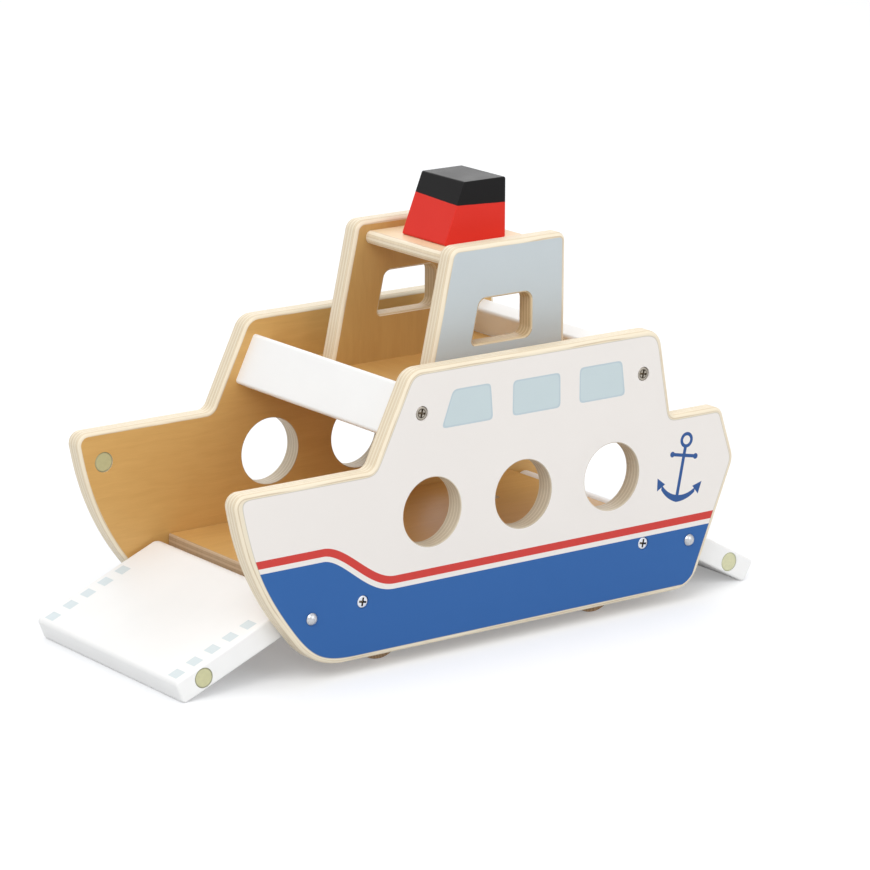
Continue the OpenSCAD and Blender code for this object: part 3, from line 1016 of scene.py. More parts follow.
@dataclass(frozen=True)
class Steel:
    """Bright or zinc-plated steel.

    Attributes:
        name: The material's name.
        colour: The metal.
        rough: Its roughness.
        heads: The X, Z and radius of the heads that have dark rings of painted shade.
        rings: The rings' radii, as shares of the head's radius.
        ring: Their colour, a painted shade.
        ring_w: Their width.
    """

    name: str
    colour: Colour
    rough: float
    heads: tuple[Spot, ...] = ()
    rings: tuple[float, ...] = ()
    ring: Colour = linear(52, 46, 38)
    ring_w: float = 0.45

    def make(self) -> Material:
        """Make the material.

        Returns:
            The finished material.
        """
        graph = Graph(self.name)
        at = graph.place()
        spot = graph.noise_at(at, (1, 1, 1), scale=0.9, detail=4.0)
        hair = graph.noise_at(at, (9.0, 0.8, 1.5), detail=2.0)
        dull = graph.mix(0.35, self.colour, (0.05, 0.05, 0.05))
        colour = graph.mix((spot * 0.6 + hair * 0.3).ramp(0.35, 0.75), self.colour, dull)
        height = hair * 0.2
        # Each ring darkens the steel and sinks a shallow groove: painted shade in the gap round the head
        # and in a groove on its face.
        for x, z, head_r in self.heads:
            distance = at.from_axis(x, z)
            for share in self.rings:
                ring = (abs(distance - share * head_r) - self.ring_w / 2).inside(0.3)
                colour = graph.mix(ring * 0.85, colour, self.ring)
                height = height - ring
        rough = self.rough + spot.swing() * 0.2 + hair.swing() * 0.12
        return graph.finish(colour, rough, graph.bump(height, 0.05), Metallic=1.0)


@dataclass(frozen=True)
class MagnetFace:
    """A magnet under a pale lacquer, with a darker ring at its rim.

    Attributes:
        name: The material's name.
        middle: The X and Z of its middle.
        radius: Its radius.
        face: The lacquer's colour.
        ring: The rim's colour.
    """

    name: str
    middle: Point
    radius: float
    face: Colour = linear(208, 206, 160)
    ring: Colour = linear(150, 150, 118)

    def make(self) -> Material:
        """Make the material.

        Returns:
            The finished material.
        """
        graph = Graph(self.name)
        at = graph.place()
        distance = at.from_axis(*self.middle)
        spot = graph.noise_at(at, (1, 1, 1), scale=0.7, detail=3.0)
        rim = (distance + spot.swing() * 0.3).ramp(self.radius - 0.75, self.radius - 0.35)
        cloudy = graph.mix(0.12, self.face, BLACK)
        face = graph.mix(spot.ramp(0.2, 0.8), self.face, cloudy)
        rough = 0.4 + spot.swing() * 0.2
        return graph.finish(graph.mix(rim, face, self.ring), rough, graph.bump(spot, 0.03),
                            Coat_Weight=0.3, Coat_Roughness=0.15)


@dataclass(frozen=True)
class TurnedWood:
    """Turned hardwood with year rings round a middle.

    Attributes:
        name: The material's name.
        middle: The X and Z of the axis.
        dark: The rings' dark lines.
        light: The wood between them.
        heart: How far the rings' own middle lies before the axis and below it.
    """

    name: str
    middle: Point
    dark: Colour = linear(160, 126, 92)
    light: Colour = linear(204, 170, 132)
    heart: Point = (31.0, 12.0)

    def make(self) -> Material:
        """Make the material.

        Returns:
            The finished material.
        """
        graph = Graph(self.name)
        at = graph.place()
        bend = graph.noise_at(at, (0.12, 0.05, 0.12), detail=3.0)
        off_x = at.x - self.middle[0] + self.heart[0]
        off_z = at.z - self.middle[1] + self.heart[1]
        rings = ((off_x * off_x + off_z * off_z).root() * 0.55 + bend * 3.0).part()
        pores = graph.noise_at(at, (4.0, 0.5, 4.0), detail=3.0)
        shade = (rings * 0.55 + pores * 0.45).ramp(0.15, 0.85)
        rough = 0.48 + pores.swing() * 0.25
        return graph.finish(graph.mix(shade, self.light, self.dark), rough,
                            graph.bump(pores, 0.05), Coat_Weight=0.1, Coat_Roughness=0.3)


# Modelling


@dataclass(frozen=True)
class Arc:
    """The round that takes a corner's place."""

    start: Vector
    centre: Vector
    turn: float


def corner_arc(before: Corner, corner: Corner, after: Corner) -> Arc:
    """Work out the arc that rounds a corner.

    Args:
        before: The corner before it.
        corner: The corner.
        after: The corner after it.

    Returns:
        The arc, which starts on the edge from the corner before.
    """
    here = Vector((corner.x, corner.z))
    u = (Vector((before.x, before.z)) - here).normalized()
    v = (Vector((after.x, after.z)) - here).normalized()
    half = u.angle(v) / 2
    centre = here + (u + v).normalized() * (corner.r / math.sin(half))
    start = here + u * (corner.r / math.tan(half))
    away = math.pi - 2 * half
    left = u.x * v.y - u.y * v.x < 0
    return Arc(start, centre, away if left else -away)


class Bench:
    """The workbench, where one piece at a time is modelled."""

    ARC_STEP = math.radians(7.5)
    ARC_SAG = 0.02
    SHORT_HEAD_R = 2.9
    SHORT_SHANK_R = 1.52
    SINK_GAP = 0.02
    SINK_REACH = 12.0
    SINK_STEPS = 32
    MERGE = 1e-6

    @staticmethod
    def clear() -> None:
        """Let go of everything."""
        if bpy.context.object and bpy.context.object.mode != "OBJECT":
            bpy.ops.object.mode_set(mode="OBJECT")
        bpy.ops.object.select_all(action="DESELECT")

    @classmethod
    def take(cls, *pieces: Piece) -> None:
        """Hold only these pieces, the first of them active.

        Args:
            *pieces: The pieces.
        """
        cls.clear()
        for piece in pieces:
            piece.select_set(True)
        bpy.context.view_layer.objects.active = pieces[0]

    @classmethod
    def edit(cls, piece: Piece) -> None:
        """Open a piece in edit mode with nothing picked.

        Args:
            piece: The piece.
        """
        cls.take(piece)
        bpy.ops.object.mode_set(mode="EDIT")
        bpy.ops.mesh.select_all(action="DESELECT")

    @staticmethod
    def settle() -> None:
        """Work the piece's place, turn and scale into its mesh."""
        bpy.ops.object.transform_apply(location=True, rotation=True, scale=True)

    @staticmethod
    def close() -> None:
        """Leave edit mode."""
        bpy.ops.object.mode_set(mode="OBJECT")

    @classmethod
    def start_point(cls, x: float, y: float, z: float) -> Piece:
        """Start a piece from a small plane that is merged to one point, in edit mode.

        Args:
            x: The point's X.
            y: Its Y.
            z: Its Z.

        Returns:
            The piece.
        """
        cls.clear()
        bpy.ops.mesh.primitive_plane_add(size=1 * MM, location=(x * MM, y * MM, z * MM))
        cls.settle()
        bpy.ops.object.mode_set(mode="EDIT")
        bpy.ops.mesh.select_all(action="SELECT")
        bpy.ops.mesh.merge(type="CENTER")
        return bpy.context.object

    @staticmethod
    def draw_to(dx: float, dy: float, dz: float) -> None:
        """Draw a straight edge on from the picked point."""
        bpy.ops.mesh.extrude_vertices_move(
            TRANSFORM_OT_translate={"value": (dx * MM, dy * MM, dz * MM)})

    @classmethod
    def sweep(cls, centre: Vector, y: float, turn: float, step: float) -> None:
        """Draw an arc on from the picked point, about an axis along Y."""
        steps = max(2, round(abs(turn) / step))
        bpy.ops.mesh.spin(steps=steps, angle=turn, axis=(0, 1, 0),
                          center=(centre.x * MM, y * MM, centre.y * MM))

    @classmethod
    def arc_step(cls, radius: float) -> float:
        """Give the turn of one edge of an arc that keeps it close to the true curve."""
        return min(cls.ARC_STEP, 2 * math.acos(1 - cls.ARC_SAG / max(radius, 1.0)))

    @classmethod
    def plate(cls, name: str, corners: Sequence[Corner], y: float, depth: float,
              step: float | None = None) -> Piece:
        """Model a plate from its outline.

        Args:
            name: The piece's name.
            corners: The outline, in order.
            y: Where the outline lies.
            depth: How far it is drawn out along Y, below 0 towards port.
            step: The greatest turn of one edge of an arc, where the usual one isn't fit.

        Returns:
            The plate, closed, with its faces outwards.
        """
        count = len(corners)
        arcs = [corner_arc(corners[i - 1], corners[i], corners[(i + 1) % count])
                for i in range(count)]
        piece = cls.start_point(arcs[0].start.x, y, arcs[0].start.y)
        here = arcs[0].start
        for corner, arc in zip(corners, arcs):
            if (arc.start - here).length > 0:
                cls.draw_to(arc.start.x - here.x, 0, arc.start.y - here.y)
            here = arc.start
            if corner.r > 0:
                cls.sweep(arc.centre, y, arc.turn, step or cls.arc_step(corner.r))
                spoke = here - arc.centre
                cos, sin = math.cos(arc.turn), math.sin(arc.turn)
                here = arc.centre + Vector((spoke.x * cos - spoke.y * sin,
                                            spoke.x * sin + spoke.y * cos))
        cls.draw_to(arcs[0].start.x - here.x, 0, arcs[0].start.y - here.y)
        cls.weld()
        bpy.ops.mesh.edge_face_add()
        bpy.ops.mesh.extrude_region_move(TRANSFORM_OT_translate={"value": (0, depth * MM, 0)})
        return cls.close_as(piece, name)

    @classmethod
    def weld(cls) -> None:
        """Pick all points and merge those that coincide."""
        bpy.ops.mesh.select_all(action="SELECT")
        bpy.ops.mesh.remove_doubles(threshold=cls.MERGE)

    @classmethod
    def close_as(cls, piece: Piece, name: str) -> Piece:
        """Turn all faces of a piece outwards, leave edit mode and name it.

        Args:
            piece: The piece, in edit mode.
            name: Its name.

        Returns:
            The piece.
        """
        bpy.ops.mesh.select_all(action="SELECT")
        bpy.ops.mesh.normals_make_consistent(inside=False)
        bpy.ops.mesh.select_all(action="DESELECT")
        cls.close()
        piece.name = name
        return piece

    @classmethod
    def lathe(cls, name: str, profile: Sequence[Point], x: float, z: float,
              steps: int = 48) -> Piece:
        """Turn a profile about an axis along Y.

        Args:
            name: The piece's name.
            profile: Points of radius and Y, which start and end on the axis.
            x: The axis's X.
            z: The axis's Z.
            steps: How many faces go round.

        Returns:
            The turned piece, closed, with its faces outwards.
        """
        radius, y = profile[0]
        piece = cls.start_point(x + radius, y, z)
        for next_radius, next_y in profile[1:]:
            cls.draw_to(next_radius - radius, next_y - y, 0)
            radius, y = next_radius, next_y
        bpy.ops.mesh.select_all(action="SELECT")
        bpy.ops.mesh.spin(steps=steps, angle=2 * math.pi, axis=(0, 1, 0),
                          center=(x * MM, 0, z * MM))
        cls.weld()
        return cls.close_as(piece, name)

    @classmethod
    def block(cls, name: str, low: Vector, high: Vector) -> Piece:
        """Model a square block between two corners.

        Args:
            name: The piece's name.
            low: Its lowest corner.
            high: Its highest corner.

        Returns:
            The block.
        """
        middle, size = (low + high) / 2, high - low
        cls.clear()
        bpy.ops.mesh.primitive_cube_add(size=1, location=middle * MM)
        piece = bpy.context.object
        piece.scale = size * MM
        cls.settle()
        piece.name = name
        return piece

    @classmethod
    def bevel(cls, piece: Piece, radius: float, pick: Pick,
              segments: int = 4, angle: float = 30.0) -> None:
        """Round the sharp edges that are picked by where they lie.

        Args:
            piece: The piece.
            radius: The radius.
            pick: Tells from an edge's two ends, in millimetres, whether it is rounded.
            segments: How many faces the round has.
            angle: The least angle of an edge that counts as sharp.
        """
        cls.edit(piece)
        bpy.ops.mesh.select_mode(type="EDGE")
        mesh = bmesh.from_edit_mesh(piece.data)
        for edge in mesh.edges:
            ends = [vert.co / MM for vert in edge.verts]
            sharp = edge.is_manifold and edge.calc_face_angle(0) > math.radians(angle)
            edge.select_set(sharp and pick(*ends))
        bmesh.update_edit_mesh(piece.data)
        bpy.ops.mesh.bevel(offset_type="OFFSET", offset=radius * MM, segments=segments,
                           profile=0.5, affect="EDGES", clamp_overlap=False)
        bpy.ops.mesh.select_mode(type="VERT")
        cls.close()

    @classmethod
    def rod(cls, x: float, z: float, diameter: float, y_from: float, y_to: float,
            steps: int = 48) -> Piece:
        """Make a cutter: a rod along Y.

        Args:
            x: The axis's X.
            z: The axis's Z.
            diameter: The diameter.
            y_from: The Y of one end.
            y_to: The Y of the other end.
            steps: How many faces go round.

        Returns:
            The cutter.
        """
        ends = sorted((y_from, y_to))
        cls.clear()
        bpy.ops.mesh.primitive_cylinder_add(
            vertices=steps, radius=diameter / 2 * MM, depth=(ends[1] - ends[0]) * MM,
            location=(x * MM, sum(ends) / 2 * MM, z * MM), rotation=(math.pi / 2, 0, 0))
        cls.settle()
        return bpy.context.object

    @classmethod
    def join(cls, name: str, pieces: Sequence[Piece]) -> Piece:
        """Join pieces to one object.

        Args:
            name: The joined object's name.
            pieces: The pieces.

        Returns:
            The joined object.
        """
        cls.take(*pieces)
        if len(pieces) > 1:
            bpy.ops.object.join()
        joined = bpy.context.object
        joined.name = name
        return joined

    @classmethod
    def cut(cls, piece: Piece, cutters: Sequence[Piece]) -> None:
        """Cut cutters out of a piece and use them up.

        Args:
            piece: The piece.
            cutters: What is cut out of it.
        """
        cutter = cls.join("cutter", cutters)
        cls.take(piece)
        bpy.ops.object.modifier_add(type="BOOLEAN")
        modifier = piece.modifiers[-1]
        modifier.operation = "DIFFERENCE"
        modifier.solver = "EXACT"
        modifier.object = cutter
        bpy.ops.object.modifier_apply(modifier=modifier.name)
        bpy.data.objects.remove(cutter)

    @classmethod
    def countersink(cls, piece: Piece, node: str, face_z: float, inwards: int) -> None:
        """Sink holes into a level face for the short screws of a CAD node.

        Args:
            piece: The piece.
            node: The CAD node of the screws, which gives their places.
            face_z: The face's height.
            inwards: 1 where the screws point up from the face, and -1 where they point down.
        """
        head_r, shank_r, reach = cls.SHORT_HEAD_R, cls.SHORT_SHANK_R, cls.SINK_REACH
        wall_r = head_r + cls.SINK_GAP
        profile = [(0, -1), (wall_r, -1), (wall_r, 0), (shank_r, wall_r - shank_r),
                   (shank_r, reach), (0, reach)]

        def middles(low: float, high: float) -> list[float]:
            """Give the middles of the one or two heads that reach from low to high.

            Args:
                low: The lower end of their box on one axis.
                high: The upper end.

            Returns:
                The middles.
            """
            if high - low < 3 * head_r:
                return [(low + high) / 2]
            return [low + head_r, high - head_r]

        low, high = node_box(node)
        cutters = []
        for x in middles(low.x, high.x):
            for y in middles(low.y, high.y):
                cutter = cls.lathe("sink", profile, 0, 0, cls.SINK_STEPS)
                cls.take(cutter)
                cutter.rotation_euler = (inwards * math.pi / 2, 0, 0)
                cutter.location = Vector((x, y, face_z)) * MM
                cls.settle()
                cutters.append(cutter)
        cls.cut(piece, cutters)

    @classmethod
    def copy(cls, piece: Piece, move: Vector, turn: float = 0.0) -> Piece:
        """Copy a piece with its own mesh, turned about the vertical through the origin, then moved.

        Args:
            piece: The piece.
            move: How far the copy is moved.
            turn: How far it is turned first, in degrees.

        Returns:
            The copy.
        """
        cls.take(piece)
        bpy.ops.object.duplicate(linked=False)
        twin = bpy.context.object
        twin.rotation_euler = (0, 0, math.radians(turn))
        twin.location = move * MM
        cls.settle()
        return twin

    @classmethod
    def smooth(cls, piece: Piece, angle: float = 32.0) -> None:
        """Shade the round faces smooth and keep the flat ones flat.

        Args:
            piece: The piece.
            angle: The least angle of an edge that stays sharp, in degrees.
        """
        cls.take(piece)
        bpy.ops.object.shade_smooth_by_angle(angle=math.radians(angle))
        bpy.ops.object.modifier_add(type="WEIGHTED_NORMAL")
        modifier = piece.modifiers[-1]
        modifier.keep_sharp = True
        modifier.weight = 100
        bpy.ops.object.modifier_apply(modifier=modifier.name)

    @staticmethod
    def dress(piece: Piece, materials: Finish,
              choose: Callable[[Vector, Vector], int] | None = None) -> None:
        """Give a piece its materials.

        Args:
            piece: The piece.
            materials: The materials, the first of them the usual one.
            choose: Tells from a face's middle, in millimetres, and its normal which it has.
        """
        piece.data.materials.clear()
        for material in materials:
            piece.data.materials.append(material)
        for polygon in piece.data.polygons:
            number = choose(polygon.center / MM, polygon.normal) if choose else 0
            polygon.material_index = number


def hand_over(piece: Piece, finish: Finish, body: str, node: str,
              choose: Callable[[Vector, Vector], int] | None = None) -> None:
    """Dress a finished piece and let it ride on its body in the place of its CAD node.

    Args:
        piece: The piece.
        finish: Its materials, the first of them the usual one.
        body: The body's name.
        node: The CAD node that it stands for.
        choose: Tells from a face's middle, in millimetres, and its normal which material it has.
    """
    Bench.dress(piece, finish, choose)
    Bench.smooth(piece)
    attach(piece, body)
    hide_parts(node)
    faces = len(piece.data.polygons)
    LOG.info("%s: %d faces, rides on %s", piece.name, faces, body)


def level(_: Vector, normal: Vector) -> int:
    """Choose the second material for level faces and the first for all others."""
    return 1 if abs(normal.z) > FACING else 0


def at_y(y: float) -> Pick:
    """Make a pick of the edges that lie at a Y."""
    return lambda a, b: abs(a.y - y) < NEAR and abs(b.y - y) < NEAR


# Sub-assemblies


@dataclass
class HullSides:
    """The two plywood sides.

    The outline's corners are given from the middle of the hull.
    """

    half_in: float = 58.5
    ply_t: float = 9.0
    edge_r: float = 1.8
    hole_r: float = 0.4
    plies: int = 9
    outline: tuple[Corner, ...] = (
        Corner(-103.35, 6.6, 32), Corner(-136.65, 49.2, 125), Corner(-145.2, 90, 5.5),
        Corner(-72.5, 90, 5), Corner(-52.3, 131.6, 9), Corner(85.7, 131.6, 9),
        Corner(93.2, 90, 3), Corner(122.8, 90, 5), Corner(131.1, 64.7, 10),
        Corner(107.3, 6.6, 14))
    porthole_d: float = 31.0
    porthole_x: tuple[float, ...] = (-41.0, 9.0, 59.0)
    porthole_z: float = 67.0
    pin_reach: float = 105.0
    pin_z: float = 29.6
    pin_hole_d: float = 3.16
    screw_d: float = 3.5
    sink_wall: float = 0.03
    sink_depth: float = 0.35
    shank_play: float = 0.05
    pocket_play: float = 0.3
    pocket_depth: float = 4.02
    wall_reach: float = 0.6
    porthole_steps: int = 128
    pin_steps: int = 32
    cut_past: float = 1.0

    @staticmethod
    def screw_spots(node: str) -> list[Spot]:
        """Give the X, Z and head radius of a CAD node's screws in a side, from its box.

        Args:
            node: The CAD node.

        Returns:
            One spot for each of the two screws.
        """
        low, high = node_box(node)
        z, head_r = (low.z + high.z) / 2, (high.z - low.z) / 2
        return [(low.x + head_r, z, head_r), (high.x - head_r, z, head_r)]

    def sinks(self) -> list[Spot]:
        """Give the X, Z and head radius of every screw in a side."""
        return self.screw_spots("deck_screws") + self.screw_spots("board_screws")

    def faces(self, side: Side) -> Point:
        """Give the Y of a side's outer and inner face."""
        return side.value * (self.half_in + self.ply_t), side.value * self.half_in

    @staticmethod
    def magnet_spots() -> list[Point]:
        """Give the X and Z of the magnets in a side."""
        return [node_axis(f"{end.word}_side_magnets") for end in End]

    def cutters(self, side: Side) -> list[Piece]:
        """Make what cuts a side's holes.

        Args:
            side: The side.

        Returns:
            The cutters.
        """
        sign, (outer, inner) = side.value, self.faces(side)
        past = sign * self.cut_past
        made = [Bench.rod(MID_X + x, self.porthole_z, self.porthole_d, outer + past,
                          inner - past, self.porthole_steps)
                for x in self.porthole_x]
        for end in End:
            made.append(Bench.rod(MID_X + end.value * self.pin_reach, self.pin_z,
                                  self.pin_hole_d, outer + past, inner - past, self.pin_steps))
        low, high = node_box("bow_side_magnets")
        magnet_d = high.x - low.x
        for x, z in self.magnet_spots():
            made.append(Bench.rod(x, z, magnet_d + self.pocket_play, inner - past,
                                  inner + sign * self.pocket_depth, MAGNET_STEPS))
        shank_r = self.screw_d / 2 + self.shank_play
        for x, z, head_r in self.sinks():
            wall_r, ledge = head_r + self.sink_wall, outer - sign * self.sink_depth
            profile = [(0, outer + past), (wall_r, outer + past), (wall_r, ledge),
                       (shank_r, ledge - sign * (wall_r - shank_r)),
                       (shank_r, inner - past), (0, inner - past)]
            made.append(Bench.lathe("sink", profile, x, z, 48))
        return made

    def build(self, side: Side, finish: Finish) -> None:
        """Model and dress one side.

        Args:
            side: The side.
            finish: The edge's, the outside's, the inside's and the portholes' material, the last darker
                as a painted shade.
        """
        outer, inner = self.faces(side)
        corners = [Corner(MID_X + c.x, c.z, c.r) for c in self.outline]
        name = f"{side.word}_side"
        piece = Bench.plate(name, corners, outer, inner - outer)
        for y in (outer, inner):
            Bench.bevel(piece, self.edge_r, at_y(y), segments=5)
        Bench.cut(piece, self.cutters(side))
        for y in (outer, inner):
            Bench.bevel(piece, self.hole_r, self.at_porthole(y), segments=2)

        portholes = [(MID_X + x, self.porthole_z, self.porthole_d / 2) for x in self.porthole_x]
        sinks = self.sinks()

        def choose(middle: Vector, normal: Vector) -> int:
            """Tell the outside, the inside, the portholes and the edges apart.

            Args:
                middle: The face's middle.
                normal: Its normal.

            Returns:
                The material's number.
            """
            if abs(normal.y) < FACING:
                if self.in_hole(middle, portholes):
                    return 3
                return 1 if self.in_hole(middle, sinks) else 0
            if abs(middle.y - outer) < NEAR:
                return 1
            return 2 if abs(middle.y - inner) < NEAR else 0

        hand_over(piece, finish, "hull", f"{name}_panel", choose)

    def in_hole(self, point: Vector, holes: Sequence[Spot]) -> bool:
        """Tell whether a point is on the wall of a hole that is given as X, Z and radius."""
        return any(math.hypot(point.x - x, point.z - z) < r + self.wall_reach for x, z, r in holes)

    def at_porthole(self, y: float) -> Pick:
        """Make a pick of the portholes' rims at a Y.

        Args:
            y: The Y.

        Returns:
            The pick.
        """
        def pick(a: Vector, b: Vector) -> bool:
            """Tell whether an edge is on a porthole's rim.

            Args:
                a: One end of the edge.
                b: Its other end.

            Returns:
                Whether it is.
            """
            flat = at_y(y)(a, b)
            return flat and any(
                all(abs(math.hypot(p.x - MID_X - x, p.z - self.porthole_z)
                        - self.porthole_d / 2) < NEAR for p in (a, b))
                for x in self.porthole_x)
        return pick


@dataclass
class Decks:
    """The car deck, the upper deck and the two leaning cross boards."""

    car_edge_r: float = 0.8
    upper_edge_r: float = 0.4
    board_edge_r: float = 1.6
    board_t: float = 11.0
    board_h: float = 24.0
    board_step: float = 22.5
    plies: int = 7

    def deck(self, name: str, node: str, corners: Sequence[Corner], edge_r: float,
             finish: Finish, screws: str, inwards: int) -> None:
        """Model and dress a deck.

        Args:
            name: The piece's name.
            node: The CAD node that gives its width.
            corners: Its outline from the side.
            edge_r: The radius of its edges.
            finish: The edge's and the faces' material.
            screws: The CAD node of the screws through it.
            inwards: 1 where they point up, and -1 where they point down.
        """
        low, high = node_box(node)
        piece = Bench.plate(name, corners, low.y, high.y - low.y)
        Bench.bevel(piece, edge_r, lambda a, b: True, segments=2)
        Bench.countersink(piece, screws, low.z if inwards > 0 else high.z, inwards)
        hand_over(piece, finish, "hull", node, level)

    def car_deck(self, finish: Finish) -> None:
        """Model the car deck.

        Args:
            finish: The edge's and the faces' material.
        """
        low, high = node_box("car_deck")
        corners = [Corner(low.x, low.z), Corner(high.x, low.z), Corner(high.x, high.z),
                   Corner(low.x, high.z)]
        self.deck("lower_deck", "car_deck", corners, self.car_edge_r, finish,
                  "axle_block_screws", -1)

    def upper_deck(self, sides: HullSides, finish: Finish) -> None:
        """Model the upper deck, whose ends lean with the cross boards.

        Args:
            sides: The sides, which give the lean.
            finish: The edge's and the faces' material.
        """
        low, high = node_box("upper_deck")
        front, rear = self.leans(sides)
        tall = high.z - low.z
        corners = [Corner(low.x, low.z), Corner(high.x, low.z),
                   Corner(high.x - tall * math.tan(rear), high.z),
                   Corner(low.x + tall * math.tan(front), high.z)]
        self.deck("promenade", "upper_deck", corners, self.upper_edge_r, finish,
                  "wheelhouse_screws", 1)

    def leans(self, sides: HullSides) -> tuple[float, float]:
        """Give how far the boards lean from upright at the bow and at the stern, in radians.

        Args:
            sides: The sides.

        Returns:
            Both leans.
        """
        _, _, _, foot, top, rear_top, rear_foot, *_ = sides.outline
        tall = top.z - foot.z
        return (math.atan2(top.x - foot.x, tall), math.atan2(rear_foot.x - rear_top.x, tall))

    def board(self, end: End, sides: HullSides, finish: Finish) -> None:
        """Model one cross board.

        Args:
            end: Its end of the hull.
            sides: The sides that it leans with.
            finish: Its paint.
        """
        name = f"{end.word}_board"
        low, high = node_box(name)
        lean = -end.value * self.leans(sides)[0 if end is End.BOW else 1]
        middle = (low + high) / 2
        along = Vector((math.sin(lean), math.cos(lean)))
        out = Vector((math.cos(lean), -math.sin(lean)))
        corners = []
        for up, side in ((-1, -1), (-1, 1), (1, 1), (1, -1)):
            spot = along * (up * self.board_h / 2) + out * (side * self.board_t / 2)
            corners.append(Corner(middle.x + spot.x, middle.z + spot.y, self.board_edge_r))
        piece = Bench.plate(f"{end.word}_cross_board", corners, low.y, high.y - low.y,
                            math.radians(self.board_step))
        hand_over(piece, finish, "hull", name)


@dataclass
class Wheelhouse:
    """The wheelhouse's two sides, its roof and the funnel on it."""

    outer_half: float = 40.5
    ply_t: float = 9.0
    low_z: float = 109.1
    top_z: float = 175.5
    front: float = -26.0
    rear: float = 52.5
    setback: float = 14.8
    front_r: float = 5.5
    rear_r: float = 4.0
    foot_r: float = 0.5
    foot_gap: float = 0.01
    edge_r: float = 2.2
    sill: float = 21.5
    window_h: float = 20.0
    window_front: float = 21.5
    window_rear: float = 19.5
    window_r: float = 4.0
    window_sill_r: float = 1.5
    window_edge_r: float = 0.9
    nose_r: float = 2.6
    roof_edge_r: float = 0.4
    roof_rear_r: float = 0.8
    window_reach: float = 0.55
    funnel_front: float = 2.5
    funnel_foot_l: float = 34.2
    funnel_top_l: float = 22.9
    funnel_r: float = 1.0
    funnel_side_r: float = 0.45
    funnel_step: float = 20.0
    band_h: float = 10.0

    def side(self, side: Side, finish: Finish) -> None:
        """Model and dress one side.

        Args:
            side: The side.
            finish: The edge's, the outside's, the inside's and the window's material, the last darker as
                a painted shade.
        """
        sign = side.value
        outer, inner = sign * self.outer_half, sign * (self.outer_half - self.ply_t)
        lean = self.setback / (self.top_z - self.low_z)
        front, rear = MID_X + self.front, MID_X + self.rear
        corners = [Corner(front, self.low_z, self.foot_r),
                   Corner(front + self.setback, self.top_z, self.front_r),
                   Corner(rear, self.top_z, self.rear_r), Corner(rear, self.low_z, self.foot_r)]
        sill_z, head_z = self.low_z + self.sill, self.low_z + self.sill + self.window_h
        sill_x = front + self.sill * lean + self.window_front
        window = [Corner(sill_x, sill_z, self.window_sill_r),
                  Corner(sill_x + self.window_h * lean, head_z, self.window_r),
                  Corner(rear - self.window_rear, head_z, self.window_r),
                  Corner(rear - self.window_rear, sill_z, self.window_r)]
        name = f"wheelhouse_{side.word}"
        piece = Bench.plate(name, corners, outer, inner - outer)

        def above_foot(y: float) -> Pick:
            """Make a pick of the edges at a Y that don't stand on the deck."""
            return lambda a, b: at_y(y)(a, b) and max(a.z, b.z) > self.low_z + self.foot_gap
        for y in (outer, inner):
            Bench.bevel(piece, self.edge_r, above_foot(y), segments=5)
        Bench.cut(piece, [Bench.plate("pane", window, outer + sign, inner - outer - 2 * sign)])
        for y in (outer, inner):
            Bench.bevel(piece, self.window_edge_r, lambda a, b: self.at_window(a, b, y, window), 3)

        def choose(middle: Vector, normal: Vector) -> int:
            """Tell the outside, the inside, the window's wall and the edges apart.

            Args:
                middle: The face's middle.
                normal: Its normal.

            Returns:
                The material's number.
            """
            if abs(normal.y) < FACING:
                return 3 if self.near_window(middle, window) else 0
            return 1 if abs(middle.y - outer) < NEAR else 2

        hand_over(piece, finish, "hull", f"{name}_side", choose)

    def near_window(self, point: Vector, window: Sequence[Corner]) -> bool:
        """Tell whether a point is in or just past a window's box.

        Args:
            point: The point.
            window: The window's corners.

        Returns:
            Whether it is.
        """
        xs, zs = [corner.x for corner in window], [corner.z for corner in window]
        reach = self.window_reach
        return (min(xs) - reach < point.x < max(xs) + reach
                and min(zs) - reach < point.z < max(zs) + reach)

    def at_window(self, a: Vector, b: Vector, y: float, window: Sequence[Corner]) -> bool:
        """Tell whether an edge is on the window's rim at a Y."""
        return at_y(y)(a, b) and self.near_window(a, window) and self.near_window(b, window)

    def roof(self, finish: Finish) -> None:
        """Model the roof with its round front edge.

        Args:
            finish: The edge's and the faces' material.
        """
        low, high = node_box("wheelhouse_roof")
        corners = [Corner(low.x, low.z, self.nose_r), Corner(low.x, high.z, self.nose_r),
                   Corner(high.x, high.z, self.roof_rear_r),
                   Corner(high.x, low.z, self.roof_rear_r)]
        piece = Bench.plate("roof", corners, low.y, high.y - low.y)
        for y in (low.y, high.y):
            Bench.bevel(piece, self.roof_edge_r, at_y(y), segments=2)
        Bench.countersink(piece, "funnel_screw", low.z, 1)
        hand_over(piece, finish, "hull", "wheelhouse_roof", level)

    def funnel(self, finish: Finish) -> None:
        """Model the funnel with its leaning front.

        Args:
            finish: Its paint.
        """
        low, high = node_box("funnel")
        front, radius = MID_X + self.funnel_front, self.funnel_r
        rear = front + self.funnel_foot_l
        corners = [Corner(front, low.z, radius), Corner(rear - self.funnel_top_l, high.z, radius),
                   Corner(rear, high.z, radius), Corner(rear, low.z, radius)]
        piece = Bench.plate("funnel_block", corners, low.y, high.y - low.y,
                            math.radians(self.funnel_step))
        Bench.bevel(piece, self.funnel_side_r, lambda a, b: abs(a.y - b.y) < NEAR, 3)
        hand_over(piece, finish, "hull", "funnel")


